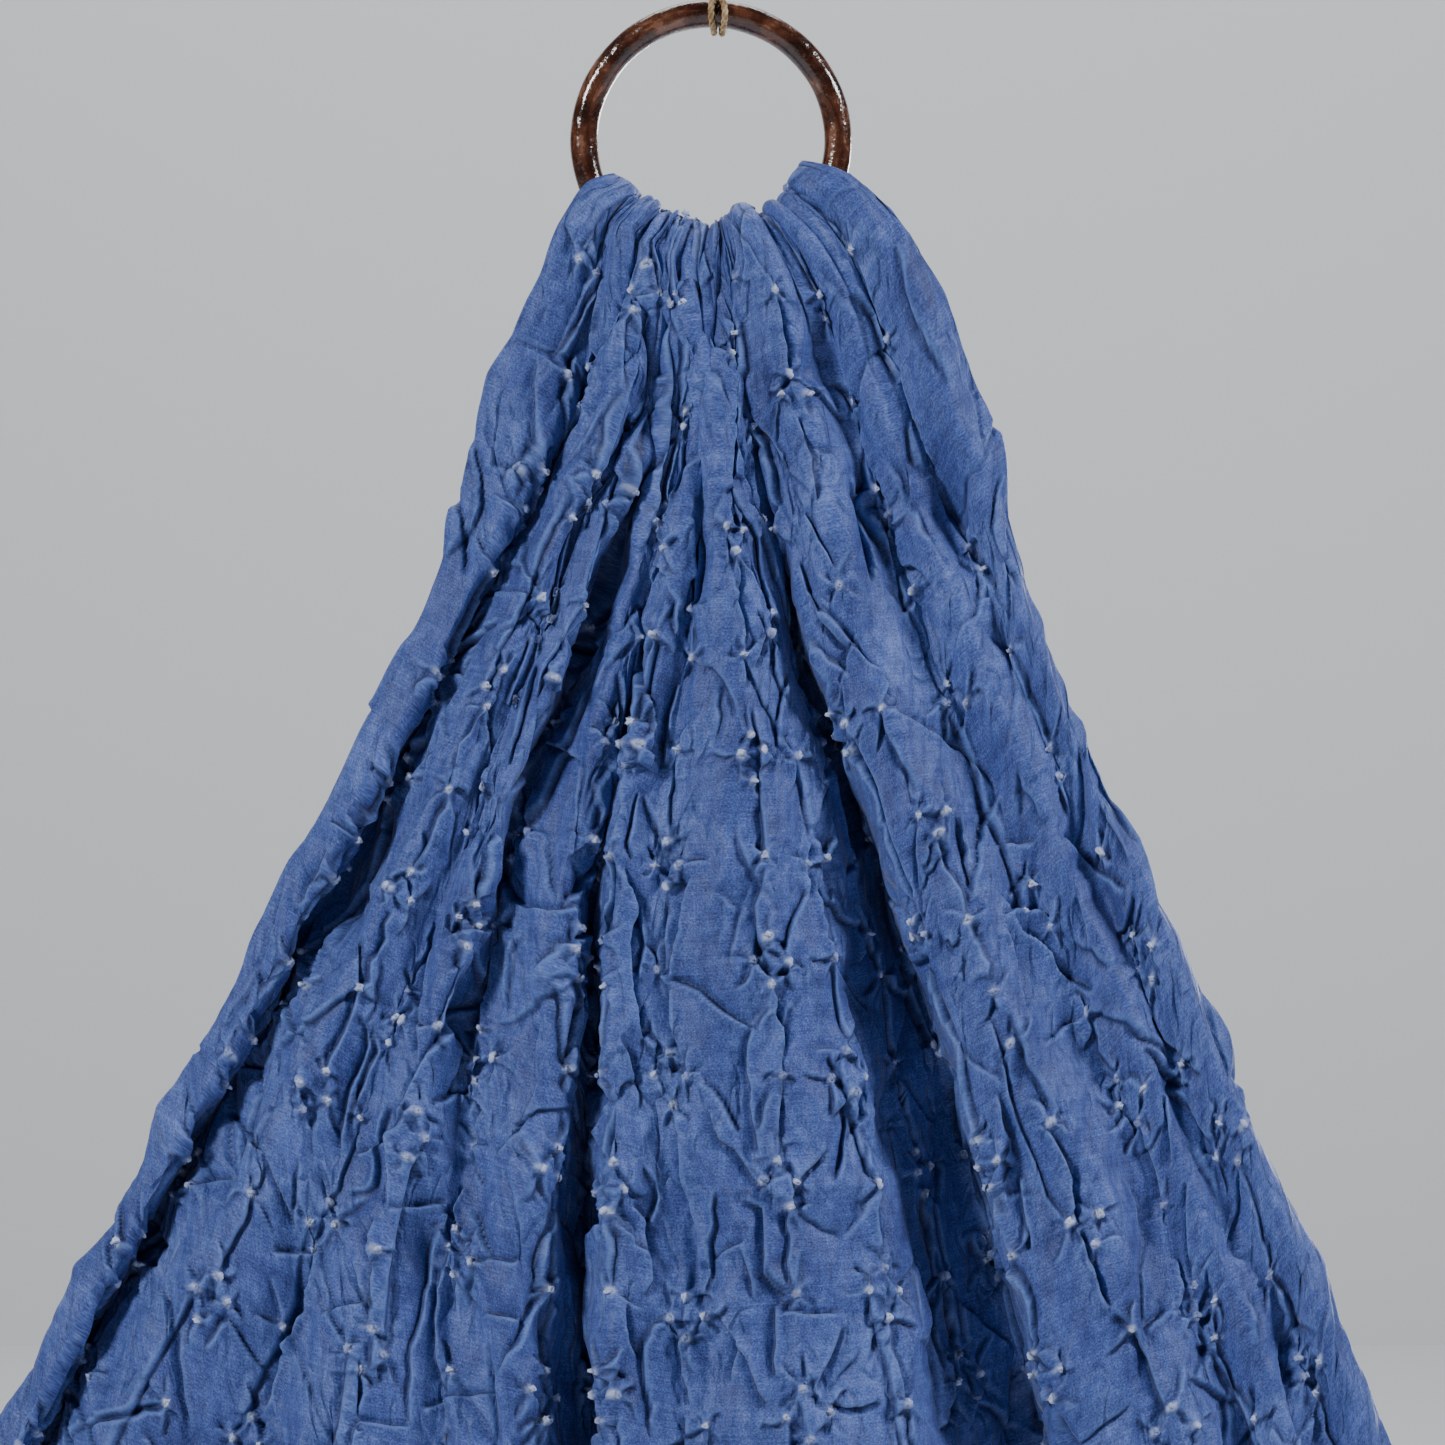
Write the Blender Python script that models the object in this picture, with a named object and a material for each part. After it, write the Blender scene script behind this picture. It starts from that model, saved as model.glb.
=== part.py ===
"""A length of bandhani silk drawn through a wooden bangle ring that hangs on jute twine.

Metres, +Z up. The origin is the top of the twine's eye, by which the whole thing hangs.
X runs to the right across the drape, and its front looks along -Y.
The cloth is one sheet: its middle lies over the ring's lower arc, and its two halves hang
in front of the ring and behind it, pleated at the ring and spreading like a skirt below.
"""

from collections import namedtuple
import math

import bmesh
import bpy
from mathutils import Matrix
import numpy as np

MM = 0.001

# The bangle: a wooden ring of round section, upright, with its hole facing the front.
RING_MID_RADIUS = 38.1 * MM
RING_TUBE_RADIUS = 4.2 * MM
RING_SEGMENTS = 56
RING_TUBE_SEGMENTS = 12
RING_CENTRE = np.array([0.0, 0.0, -90 * MM])

# The cloth. Lengths are measured along it from the top of the ring's lower arc.
CLOTH_THICKNESS = 1.0 * MM
CLOTH_TO_RING = 2.8 * MM
FRONT_LENGTH = 455 * MM
BACK_LENGTH = 430 * MM
ROWS_PER_HALF = 18
COLUMNS_PER_FOLD = 3

# How the front half leans out as it falls, and how its sides curve back.
LEAN_STARTS = 38 * MM
FRONT_LEAN = 0.16
FRONT_CURVE = 0.55

# The same for the back half, which hangs narrower, with softer folds.
BACK_LEAN = 0.2
BACK_CURVE = 0.3
BACK_WIDTH = 0.88
BACK_FOLD_DEPTHS = (2 * MM, 6 * MM, 11 * MM, 17 * MM)

# Four levels below the ring's centre at which the folds are placed.
LEVELS = (70 * MM, 130 * MM, 228 * MM, 391 * MM)
PAST_LAST_LEVEL = 160 * MM

# One row for each ridge or trough of the front half, from the left edge to the right, in mm.
# angle: where it crosses the ring, in degrees round from +X. stand: how far it stands off the
# ring in the gathered neck. bow: how far it bows sideways between the ring and the first level.
# x1 to x4: its place across the drape at the four levels. in1 to in4: how far it is set in there.
Fold = namedtuple("Fold", "name angle stand bow x1 x2 x3 x4 in1 in2 in3 in4")
FOLDS = (
    Fold("left selvedge", 200, 0.0, -1, -59.5, -78.4, -126.0, -206.5, 5, 7, 12, 18),
    Fold("left edge", 204, 0.6, -1, -62.3, -81.6, -130.0, -213.0, 3, 4, 5, 6),
    Fold("left lip", 212, 1.8, -1, -46.5, -69.5, -119.5, -206.0, 2, 2, 1, 0),
    Fold("trough 1", 221, 0.2, 0, -37.0, -65.0, -115.0, -204.0, 8, 16, 22, 22),
    Fold("ridge 2", 229, 1.8, 0, -26.5, -50.6, -95.8, -175.0, 0, 0, 0, 0),
    Fold("trough 2", 234, 0.8, 0, -21.5, -42.9, -79.8, -141.5, 4, 5, 7, 10),
    Fold("ridge 3", 239, 2.2, 0, -17.5, -36.3, -71.0, -111.0, 2, 2, 3, 2),
    Fold("trough 3", 244, 0.9, 0, -13.8, -31.0, -62.4, -82.0, 9, 22, 18, 10),
    Fold("ridge 3b", 248.5, 2.2, 0, -10.4, -22.0, -44.5, -61.5, 3, 7, 3, 0),
    Fold("trough 4", 253, 1.1, 0, -7.3, -15.5, -33.0, -36.0, 5, 12, 24, 38),
    Fold("ridge 4", 257.5, 2.4, 0, -4.3, -9.8, -28.0, -27.0, 2, 4, 4, 2),
    Fold("trough 4b", 262, 1.1, 0, -1.4, -4.0, -16.5, -6.3, 4, 8, 8, 7),
    Fold("ridge 5", 267.5, 2.4, 0, 1.6, 3.3, 7.2, 14.5, 0, 0, 0, 0),
    Fold("shoulder", 273, 1.8, 0, 4.8, 14.0, 31.2, 55.5, 3, 4, 6, 5),
    Fold("trough 5", 278.5, 0.9, 0, 8.6, 22.5, 54.6, 99.5, 11, 21, 34, 45),
    Fold("ridge 6 lip", 284, 3.0, 0, 13.2, 27.2, 60.6, 109.5, 2, 3, 4, 6),
    Fold("ridge 6", 294, 4.6, 1, 23.4, 37.2, 73.5, 140.0, 0, 0, 0, 0),
    Fold("trough 7", 306, 0.6, 2, 39.3, 58.0, 98.2, 161.5, 9, 12, 10, 9),
    Fold("ridge 7", 315, 2.6, 3, 47.7, 68.8, 109.8, 171.5, 3, 2, 3, 3),
    Fold("trough 8", 323, 0.4, 3, 54.6, 79.0, 117.8, 184.0, 8, 9, 8, 8),
    Fold("ridge 8", 333, 2.0, 8, 69.0, 88.4, 129.6, 196.0, 0, 0, 0, 0),
    Fold("right edge", 341, 0.6, 9, 78.6, 93.4, 134.6, 203.5, 4, 5, 6, 7),
    Fold("right selvedge", 345, 0.0, 9, 75.8, 90.2, 130.0, 197.0, 5, 7, 12, 18),
)

# The jute twine: two turns round the top of the ring, a knot above it, and an eye.
TWINE_DIAMETER = 2.0 * MM
TWINE_TO_RING = 0.5 * MM
TWINE_SIDES = 8
KNOT_CENTRE = np.array([2.1 * MM, 0.0, -37.5 * MM])
KNOT_RADII = (3.2 * MM, 2.8 * MM, 2.9 * MM)
TOUCH_GAP = 0.4 * MM
TWINE_END_SPREAD = 1.4 * MM
TURN_STEP = 24
# Where the twine lies along the ring, in mm, at each angle round the tube from its outer side.
TURNS = ((66, 0.2), (90, 0.0), (180, 0.9), (270, 1.0), (360, 2.1), (450, 4.2), (540, 3.3), (654, 3.3))
# Half the eye's width, in mm, at each height above the knot as a share of the eye's height.
EYE_SHAPE = ((0.0, 1.4), (0.15, 2.4), (0.4, 4.6), (0.65, 5.8), (0.85, 5.0), (0.96, 2.6), (1.0, 0.0))
EYE_POINTS = 34


def clear_scene():
    """Remove every object that the new scene starts with."""
    for old in list(bpy.data.objects):
        bpy.data.objects.remove(old)


def smooth_through(knots, values, where):
    """Values at the places asked for, on a smooth curve through the knots that never overshoots."""
    knots = np.asarray(knots, dtype=float)
    values = np.asarray(values, dtype=float)
    where = np.asarray(where, dtype=float)
    steps = np.diff(knots)[:, None]
    slopes = np.diff(values, axis=0) / steps
    before, after = slopes[:-1], slopes[1:]
    same_way = before * after > 0
    weight_before = steps[:-1] + 2 * steps[1:]
    weight_after = 2 * steps[:-1] + steps[1:]
    safe_before = np.where(same_way, before, 1.0)
    safe_after = np.where(same_way, after, 1.0)
    mean = (weight_before + weight_after) / (weight_before / safe_before + weight_after / safe_after)
    tangents = np.vstack([slopes[:1], np.where(same_way, mean, 0.0), slopes[-1:]])
    cell = np.clip(np.searchsorted(knots, where, side="right") - 1, 0, len(knots) - 2)
    t = ((where - knots[cell]) / (knots[cell + 1] - knots[cell]))[:, None]
    length = steps[cell]
    start = (2 * t**3 - 3 * t**2 + 1) * values[cell] + (t**3 - 2 * t**2 + t) * length * tangents[cell]
    end = (3 * t**2 - 2 * t**3) * values[cell + 1] + (t**3 - t**2) * length * tangents[cell + 1]
    return start + end


def distances_along(points):
    """The distance along a line of points from its first one to each of them."""
    steps = np.linalg.norm(np.diff(points, axis=0), axis=1)
    return np.concatenate([[0.0], np.cumsum(steps)])


def make_material(name, colour, roughness):
    """A Principled material with one colour."""
    material = bpy.data.materials.new(name)
    material.use_nodes = True
    shader = material.node_tree.nodes["Principled BSDF"]
    shader.inputs["Base Color"].default_value = (*colour, 1.0)
    shader.inputs["Roughness"].default_value = roughness
    shader.inputs["Metallic"].default_value = 0.0
    return material


def add_object(name, data, material):
    """Put a mesh or a curve in the scene under its name, with its material."""
    data.materials.append(material)
    thing = bpy.data.objects.new(name, data)
    bpy.context.scene.collection.objects.link(thing)
    return thing


def mesh_from(bm, name):
    """Turn a bmesh into a smooth-shaded mesh."""
    bmesh.ops.recalc_face_normals(bm, faces=bm.faces[:])
    mesh = bpy.data.meshes.new(name)
    bm.to_mesh(mesh)
    bm.free()
    mesh.shade_smooth()
    return mesh


def fold_places(field):
    """One column of the fold table as lengths in metres."""
    return np.array([getattr(fold, field) for fold in FOLDS]) * MM


def front_levels():
    """The front half's folds at the four levels, as points: level, fold, coordinate."""
    levels = []
    for number, drop in enumerate(LEVELS, start=1):
        x = fold_places(f"x{number}")
        set_in = fold_places(f"in{number}")
        half_width = (x.max() - x.min()) / 2
        lean = CLOTH_TO_RING + RING_TUBE_RADIUS + FRONT_LEAN * (drop - LEAN_STARTS)
        y = set_in - lean * (1 - FRONT_CURVE * (x / half_width) ** 2)
        z = np.full(len(FOLDS), RING_CENTRE[2] - drop)
        levels.append(np.stack([x, y, z], axis=1))
    return np.array(levels)


def widths_across(front):
    """How far across the flat cloth each fold lies, from the widest that it spreads to."""
    gaps = np.linalg.norm(np.diff(front, axis=1), axis=2)
    return np.concatenate([[0.0], np.cumsum(gaps.max(axis=0))])


def back_levels(front, across):
    """The back half's folds at the same levels: evenly spread, with every other one set in."""
    share = across / across[-1]
    order = np.arange(len(FOLDS))
    uneven = 0.75 + 0.25 * np.sin(2.1 * order)
    levels = []
    for number, drop in enumerate(LEVELS):
        left, right = front[number, :, 0].min(), front[number, :, 0].max()
        x = (left + right) / 2 + BACK_WIDTH * (right - left) * (share - 0.5)
        lean = CLOTH_TO_RING + RING_TUBE_RADIUS + BACK_LEAN * (drop - LEAN_STARTS)
        set_in = BACK_FOLD_DEPTHS[number] * uneven * (order % 2)
        y = lean * (1 - BACK_CURVE * (2 * share - 1) ** 2) - set_in
        z = np.full(len(FOLDS), RING_CENTRE[2] - drop)
        levels.append(np.stack([x, y, z], axis=1))
    return np.array(levels)


def half_route(fold, levels, side):
    """A fold's points from the top of the ring's lower arc to below the hem, on one side."""
    angle = math.radians(fold.angle)
    outward = np.array([math.cos(angle), 0.0, math.sin(angle)])
    sideways = np.array([0.0, side, 0.0])
    tube_centre = RING_CENTRE + RING_MID_RADIUS * outward
    reach = RING_TUBE_RADIUS + CLOTH_TO_RING + CLOTH_THICKNESS / 2 + fold.stand * MM
    points = []
    for turn in (90, 67.5, 45, 22.5, 0):
        turn = math.radians(turn)
        points.append(tube_centre + reach * (math.cos(turn) * sideways - math.sin(turn) * outward))
    midway = (points[-1] + levels[0]) / 2 + np.array([fold.bow * MM, 0.0, 0.0])
    points.append(midway)
    points.extend(levels)
    onward = levels[-1] - levels[-2]
    points.append(levels[-1] + onward * PAST_LAST_LEVEL / np.linalg.norm(onward))
    return np.array(points)


def strand(fold, front, back, lengths):
    """Points of one fold at the given lengths from the ring: negative ones are on the back half."""
    towards_front = half_route(fold, front, -1.0)
    towards_back = half_route(fold, back, 1.0)
    route = np.vstack([towards_back[:0:-1], towards_front])
    along = distances_along(route)
    fine_along = np.linspace(0.0, along[-1], 900)
    fine = smooth_through(along, route, fine_along)
    measured = distances_along(fine)
    top = np.interp(along[len(towards_back) - 1], fine_along, measured)
    places = [np.interp(lengths + top, measured, fine[:, axis]) for axis in range(3)]
    return np.stack(places, axis=1)


def row_lengths():
    """The lengths from the ring at which the cloth has a row of points: closer near the ring."""
    share = np.arange(1, ROWS_PER_HALF + 1) / ROWS_PER_HALF
    share = 0.15 * share + 0.85 * share**2
    return np.concatenate([-BACK_LENGTH * share[::-1], [0.0], FRONT_LENGTH * share])


def column_places(across):
    """Places across the flat cloth of its columns of points: the same number to each fold."""
    order = np.arange(len(across))
    fine = np.linspace(0, len(across) - 1, COLUMNS_PER_FOLD * (len(across) - 1) + 1)
    return np.interp(fine, order, across)


def make_cloth():
    """The draped sheet: a grid laid on the folds and given its thickness."""
    front = front_levels()
    across = widths_across(front)
    back = back_levels(front, across)
    lengths = row_lengths()
    strands = [strand(fold, front[:, i], back[:, i], lengths) for i, fold in enumerate(FOLDS)]
    columns = column_places(across)
    flat = np.array(strands).reshape(len(FOLDS), -1)
    surface = smooth_through(across, flat, columns).reshape(len(columns), len(lengths), 3)
    bm = bmesh.new()
    cells = (len(columns) - 1, len(lengths) - 1)
    bmesh.ops.create_grid(bm, x_segments=cells[0], y_segments=cells[1], size=0.5)
    for vert in bm.verts:
        column = round((vert.co.x + 0.5) * cells[0])
        row = round((vert.co.y + 0.5) * cells[1])
        vert.co = surface[column, row]
    cloth = add_object("cloth", mesh_from(bm, "cloth"), make_material("dyed_silk", (0.075, 0.17, 0.38), 0.6))
    thickness = cloth.modifiers.new("thickness", "SOLIDIFY")
    thickness.thickness = CLOTH_THICKNESS
    thickness.offset = 0.0
    return cloth


def make_ring():
    """The bangle: a circle spun about the ring's axis."""
    bm = bmesh.new()
    beside = Matrix.Translation((RING_MID_RADIUS, 0.0, 0.0))
    bmesh.ops.create_circle(bm, segments=RING_TUBE_SEGMENTS, radius=RING_TUBE_RADIUS, matrix=beside)
    bmesh.ops.spin(
        bm, geom=bm.edges[:], cent=(0, 0, 0), axis=(0, 1, 0),
        angle=math.tau, steps=RING_SEGMENTS, use_merge=True,
    )
    bmesh.ops.translate(bm, vec=tuple(RING_CENTRE), verts=bm.verts[:])
    return add_object("ring", mesh_from(bm, "ring"), make_material("lacquered_wood", (0.07, 0.02, 0.008), 0.25))


def make_tube(name, points, material):
    """A length of twine: a line of points with a round section and closed ends."""
    curve = bpy.data.curves.new(name, "CURVE")
    curve.dimensions = "3D"
    spline = curve.splines.new("POLY")
    spline.points.add(len(points) - 1)
    for spot, point in zip(spline.points, points):
        spot.co = (*point, 1.0)
    curve.bevel_depth = TWINE_DIAMETER / 2
    curve.bevel_resolution = (TWINE_SIDES - 4) // 2
    curve.use_fill_caps = True
    return add_object(name, curve, material)


def wrap_points():
    """The twine from the knot, twice round the ring's tube, and back to the knot."""
    angles = np.arange(TURNS[0][0], TURNS[-1][0] + 1, TURN_STEP)
    knots = [turn[0] for turn in TURNS]
    along_ring = smooth_through(knots, [[turn[1] * MM] for turn in TURNS], angles)[:, 0]
    radius = RING_TUBE_RADIUS + TWINE_TO_RING + TWINE_DIAMETER / 2
    turns = np.radians(angles)
    tube_height = RING_CENTRE[2] + np.sqrt(RING_MID_RADIUS**2 - along_ring**2)
    loop = np.stack([along_ring, -radius * np.sin(turns), tube_height + radius * np.cos(turns)], axis=1)
    underside = KNOT_CENTRE - np.array([0.0, 0.0, KNOT_RADII[2] + TOUCH_GAP])
    start = underside + np.array([-TWINE_END_SPREAD, -TWINE_END_SPREAD, 0.0])
    end = underside + np.array([TWINE_END_SPREAD, TWINE_END_SPREAD, 0.0])
    return np.vstack([[start, (start + loop[0]) / 2], loop, [(end + loop[-1]) / 2, end]])


def eye_points():
    """The twine's eye: up from the knot, over at the origin and down to the knot again."""
    foot = KNOT_CENTRE[2] + KNOT_RADII[2] + TOUCH_GAP
    height = -TWINE_DIAMETER / 2 - foot
    side = []
    for share, half_width in EYE_SHAPE:
        middle = KNOT_CENTRE[0] * (1 - share)
        side.append((middle, half_width * MM, foot + share * height))
    left = [(middle - half, 0.0, z) for middle, half, z in side]
    right = [(middle + half, 0.0, z) for middle, half, z in side]
    route = np.array(left + right[-2::-1])
    along = distances_along(route)
    return smooth_through(along, route, np.linspace(0.0, along[-1], EYE_POINTS))


def make_knot(material):
    """The knot: a small flattened ball."""
    bm = bmesh.new()
    place = Matrix.Translation(tuple(KNOT_CENTRE)) @ Matrix.Diagonal((*KNOT_RADII, 1.0))
    bmesh.ops.create_icosphere(bm, subdivisions=3, radius=1.0, matrix=place)
    return add_object("twine_knot", mesh_from(bm, "twine_knot"), material)


def make_twine():
    """The twine's turns, its knot and its eye."""
    jute = make_material("jute", (0.36, 0.26, 0.16), 0.9)
    make_tube("twine_wrap", wrap_points(), jute)
    make_knot(jute)
    make_tube("twine_eye", eye_points(), jute)


clear_scene()
make_cloth()
make_ring()
make_twine()
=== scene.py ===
# %% [markdown]
# # Bandhani silk drawn through a wooden bangle
# A length of blue silk hangs in a lacquered bangle on jute twine. Small points of the cloth were
# pinched up and tied with thread before it was dyed, so each is a pale nub today, and the cloth
# stays creased and puckered between them. This notebook dresses the plain solids of the part:
# the twine first, then the bangle, then the silk, its creases and its tied dots, and the light.

# %% Load the frame
import math
from collections import namedtuple

import bmesh
import bpy
import numpy as np
from mathutils import Matrix, Vector
from mathutils.geometry import delaunay_2d_cdt


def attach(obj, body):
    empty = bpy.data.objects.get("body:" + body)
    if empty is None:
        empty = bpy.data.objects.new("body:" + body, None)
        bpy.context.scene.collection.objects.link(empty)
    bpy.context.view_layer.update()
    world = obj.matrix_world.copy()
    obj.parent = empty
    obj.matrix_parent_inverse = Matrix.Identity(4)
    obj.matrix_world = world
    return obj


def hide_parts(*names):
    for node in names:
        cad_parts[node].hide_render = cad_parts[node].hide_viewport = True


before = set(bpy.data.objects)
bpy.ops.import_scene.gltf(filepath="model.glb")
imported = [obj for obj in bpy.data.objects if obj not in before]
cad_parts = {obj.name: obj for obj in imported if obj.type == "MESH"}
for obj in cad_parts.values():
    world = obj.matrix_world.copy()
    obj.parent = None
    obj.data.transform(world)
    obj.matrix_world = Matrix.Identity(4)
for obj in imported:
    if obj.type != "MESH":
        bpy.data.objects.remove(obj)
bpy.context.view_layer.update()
MM = 0.001

# %% [markdown]
# ## Colours and nodes
# Colours are written as the hex values that a paint chart gives, and one function turns them to
# the linear values that Blender's shaders work in. A second one adds a node to a material with
# its settings and links in one call, so a material reads as a list of its layers.

# %% Helpers for colours and nodes
def linear(hex_colour):
    """An sRGB hex colour as the linear red, green, blue and alpha of a shader."""
    channels = [int(hex_colour[i:i + 2], 16) / 255 for i in (1, 3, 5)]
    return (*[c / 12.92 if c <= 0.04045 else ((c + 0.055) / 1.055) ** 2.4 for c in channels], 1.0)


def add_node(owner, kind, settings=None, links=None):
    """Add a node to a material or the world: settings go to its properties or sockets, links
    join its sockets to outputs."""
    node = owner.node_tree.nodes.new(kind)
    for name, value in (settings or {}).items():
        if isinstance(name, str) and hasattr(node, name):
            setattr(node, name, value)
        else:
            node.inputs[name].default_value = value
    for name, output in (links or {}).items():
        owner.node_tree.links.new(output, node.inputs[name])
    return node


def new_material(name):
    """An empty node material with its Principled shader and its output."""
    material = bpy.data.materials.new(name)
    material.use_nodes = True
    return material, material.node_tree.nodes["Principled BSDF"]


def set_ramp(node, stops):
    """Give a colour ramp its stops: pairs of a place and a hex colour."""
    ramp = node.color_ramp
    while len(ramp.elements) < len(stops):
        ramp.elements.new(0.5)
    for element, (place, colour) in zip(ramp.elements, stops):
        element.position = place
        element.color = linear(colour)


print("helpers ready")

# %% [markdown]
# ## The camera
# The picture is square, and the ring stands face on in it. A long lens from a metre and a half
# keeps the drape as flat as it looks there. The camera is level with the middle of the picture.

# %% The camera
PIXEL = 0.30 * MM
PICTURE = 1445
RING_IN_PICTURE = (711, 141)
RING_CENTRE = np.array([0.0, 0.0, -90 * MM])
CAMERA_DISTANCE = 1.5
SENSOR = 36.0

middle = PICTURE / 2
camera_data = bpy.data.cameras.new("camera")
camera_data.sensor_width = SENSOR
camera_data.lens = SENSOR * CAMERA_DISTANCE / (PICTURE * PIXEL)
camera = bpy.data.objects.new("camera", camera_data)
camera.location = (
    (middle - RING_IN_PICTURE[0]) * PIXEL,
    -CAMERA_DISTANCE,
    RING_CENTRE[2] - (middle - RING_IN_PICTURE[1]) * PIXEL,
)
camera.rotation_euler = (math.radians(90), 0, 0)
bpy.context.scene.collection.objects.link(camera)
bpy.context.scene.camera = camera
print("lens", round(camera_data.lens, 1), "mm at", [round(v, 3) for v in camera.location])

# %% [markdown]
# ## Smooth curves
# Routes and folds are given by a few points each. An ordinary spline would swing past some of
# them. This curve goes through all of them and never swings past one, so a ridge stays exactly
# as high, and a trough as deep, as its row says.

# %% Helpers for curves
def smooth_through(knots, values, where):
    """Values at the places asked for, on a smooth curve through the knots that never overshoots."""
    knots = np.asarray(knots, dtype=float)
    values = np.asarray(values, dtype=float)
    where = np.asarray(where, dtype=float)
    steps = np.diff(knots)[:, None]
    slopes = np.diff(values, axis=0) / steps
    before, after = slopes[:-1], slopes[1:]
    same_way = before * after > 0
    weight_before = steps[:-1] + 2 * steps[1:]
    weight_after = 2 * steps[:-1] + steps[1:]
    safe_before = np.where(same_way, before, 1.0)
    safe_after = np.where(same_way, after, 1.0)
    mean = (weight_before + weight_after) / (weight_before / safe_before + weight_after / safe_after)
    tangents = np.vstack([slopes[:1], np.where(same_way, mean, 0.0), slopes[-1:]])
    cell = np.clip(np.searchsorted(knots, where, side="right") - 1, 0, len(knots) - 2)
    t = ((where - knots[cell]) / (knots[cell + 1] - knots[cell]))[:, None]
    length = steps[cell]
    start = (2 * t**3 - 3 * t**2 + 1) * values[cell] + (t**3 - 2 * t**2 + t) * length * tangents[cell]
    end = (3 * t**2 - 2 * t**3) * values[cell + 1] + (t**3 - t**2) * length * tangents[cell + 1]
    return start + end


def distances_along(points):
    """The distance along a line of points from its first one to each of them."""
    steps = np.linalg.norm(np.diff(points, axis=0), axis=1)
    return np.concatenate([[0.0], np.cumsum(steps)])


def evenly(points, count):
    """The same line with a given number of points, evenly far apart."""
    along = distances_along(points)
    return smooth_through(along, points, np.linspace(0.0, along[-1], count))


print("curve helpers ready")

# %% [markdown]
# ## Pieces
# A piece is a finished mesh with its material. Nothing here turns or slides by itself, so every
# piece rides on the one body. A piece that dresses one of the plain solids takes that solid's
# place.

# %% Helpers for pieces
def add_piece(name, data, material, *, node=None):
    """Put a finished mesh in the scene as a piece of the part, in place of a solid if it has one."""
    data.materials.clear()
    data.materials.append(material)
    piece = bpy.data.objects.new(name, data)
    bpy.context.scene.collection.objects.link(piece)
    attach(piece, "root")
    if node:
        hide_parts(node)
    return piece


def count_triangles(mesh):
    """How many triangles a mesh has."""
    return sum(len(face.vertices) - 2 for face in mesh.polygons)


print("piece helpers ready")

# %% [markdown]
# ## Jute
# Jute twine is three loose yarns laid up with a right-hand twist. The yarns are hairy: stray
# fibres stand off them by a few millimetres. Jute is dull, dry and straw brown, so it is rough
# and has no sheen, and bundles of darker and paler fibres streak it. Two noises give that: one
# as fine as the bundles, and one for the slow change along the yarn.

# %% The jute material
# Noise scales are in turns to the metre: the bundles are 0.7 mm apart, the patches 4 mm.
JUTE_BUNDLES = 1400.0
JUTE_PATCHES = 260.0
JUTE_ROUGHNESS = 0.9


def make_jute():
    """Undyed jute: matt, streaked, darker between its fibres."""
    jute, shader = new_material("jute")
    coords = add_node(jute, "ShaderNodeTexCoord")
    streaks = add_node(
        jute, "ShaderNodeTexNoise", {"Scale": JUTE_BUNDLES, "Detail": 4.0, "Roughness": 0.65},
        {"Vector": coords.outputs["Object"]},
    )
    patches = add_node(
        jute, "ShaderNodeTexNoise", {"Scale": JUTE_PATCHES, "Detail": 2.0},
        {"Vector": coords.outputs["Object"]},
    )
    mixed = add_node(
        jute, "ShaderNodeMath", {"operation": "MULTIPLY_ADD", 1: 0.6},
        {0: streaks.outputs["Fac"], 2: patches.outputs["Fac"]},
    )
    ramp = add_node(jute, "ShaderNodeValToRGB", None, {"Fac": mixed.outputs[0]})
    set_ramp(ramp, [(0.55, "#5E4930"), (0.78, "#A68A66"), (1.0, "#D8C4A2")])
    bump = add_node(
        jute, "ShaderNodeBump", {"Strength": 0.8, "Distance": 0.3 * MM},
        {"Height": streaks.outputs["Fac"]},
    )
    jute.node_tree.links.new(ramp.outputs["Color"], shader.inputs["Base Color"])
    jute.node_tree.links.new(bump.outputs["Normal"], shader.inputs["Normal"])
    shader.inputs["Roughness"].default_value = JUTE_ROUGHNESS
    return jute


jute = make_jute()
print("jute made")

# %% [markdown]
# ## The twine
# The twine goes twice round the top of the ring. Both turns show side by side on its front and
# close up on its inner side. A knot sits above the ring, and a loop above that is what the whole
# thing hangs by. The routes are the solids' own. One tube with a twisted bump would be lighter,
# but the grooves between the yarns cast real shadows, so three tubes are wound round each route.

# %% The twine's routes
RING_MID_RADIUS = 38.1 * MM
RING_TUBE_RADIUS = 4.2 * MM
TWINE_DIAMETER = 2.0 * MM
TWINE_TO_RING = 0.5 * MM
KNOT_CENTRE = np.array([2.1 * MM, 0.0, -37.5 * MM])
KNOT_RADII = np.array([3.2 * MM, 2.8 * MM, 2.9 * MM])
TOUCH_GAP = 0.4 * MM
TWINE_END_SPREAD = 1.4 * MM
TURN_STEP = 24
# Where the twine lies along the ring, in mm, at each angle round the tube from its outer side.
TURNS = ((66, 0.2), (90, 0.0), (180, 0.9), (270, 1.0), (360, 2.1), (450, 4.2), (540, 3.3), (654, 3.3))
# Half the eye's width, in mm, at each height above the knot as a share of the eye's height.
EYE_SHAPE = ((0.0, 1.4), (0.15, 2.4), (0.4, 4.6), (0.65, 5.8), (0.85, 5.0), (0.96, 2.6), (1.0, 0.0))


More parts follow.
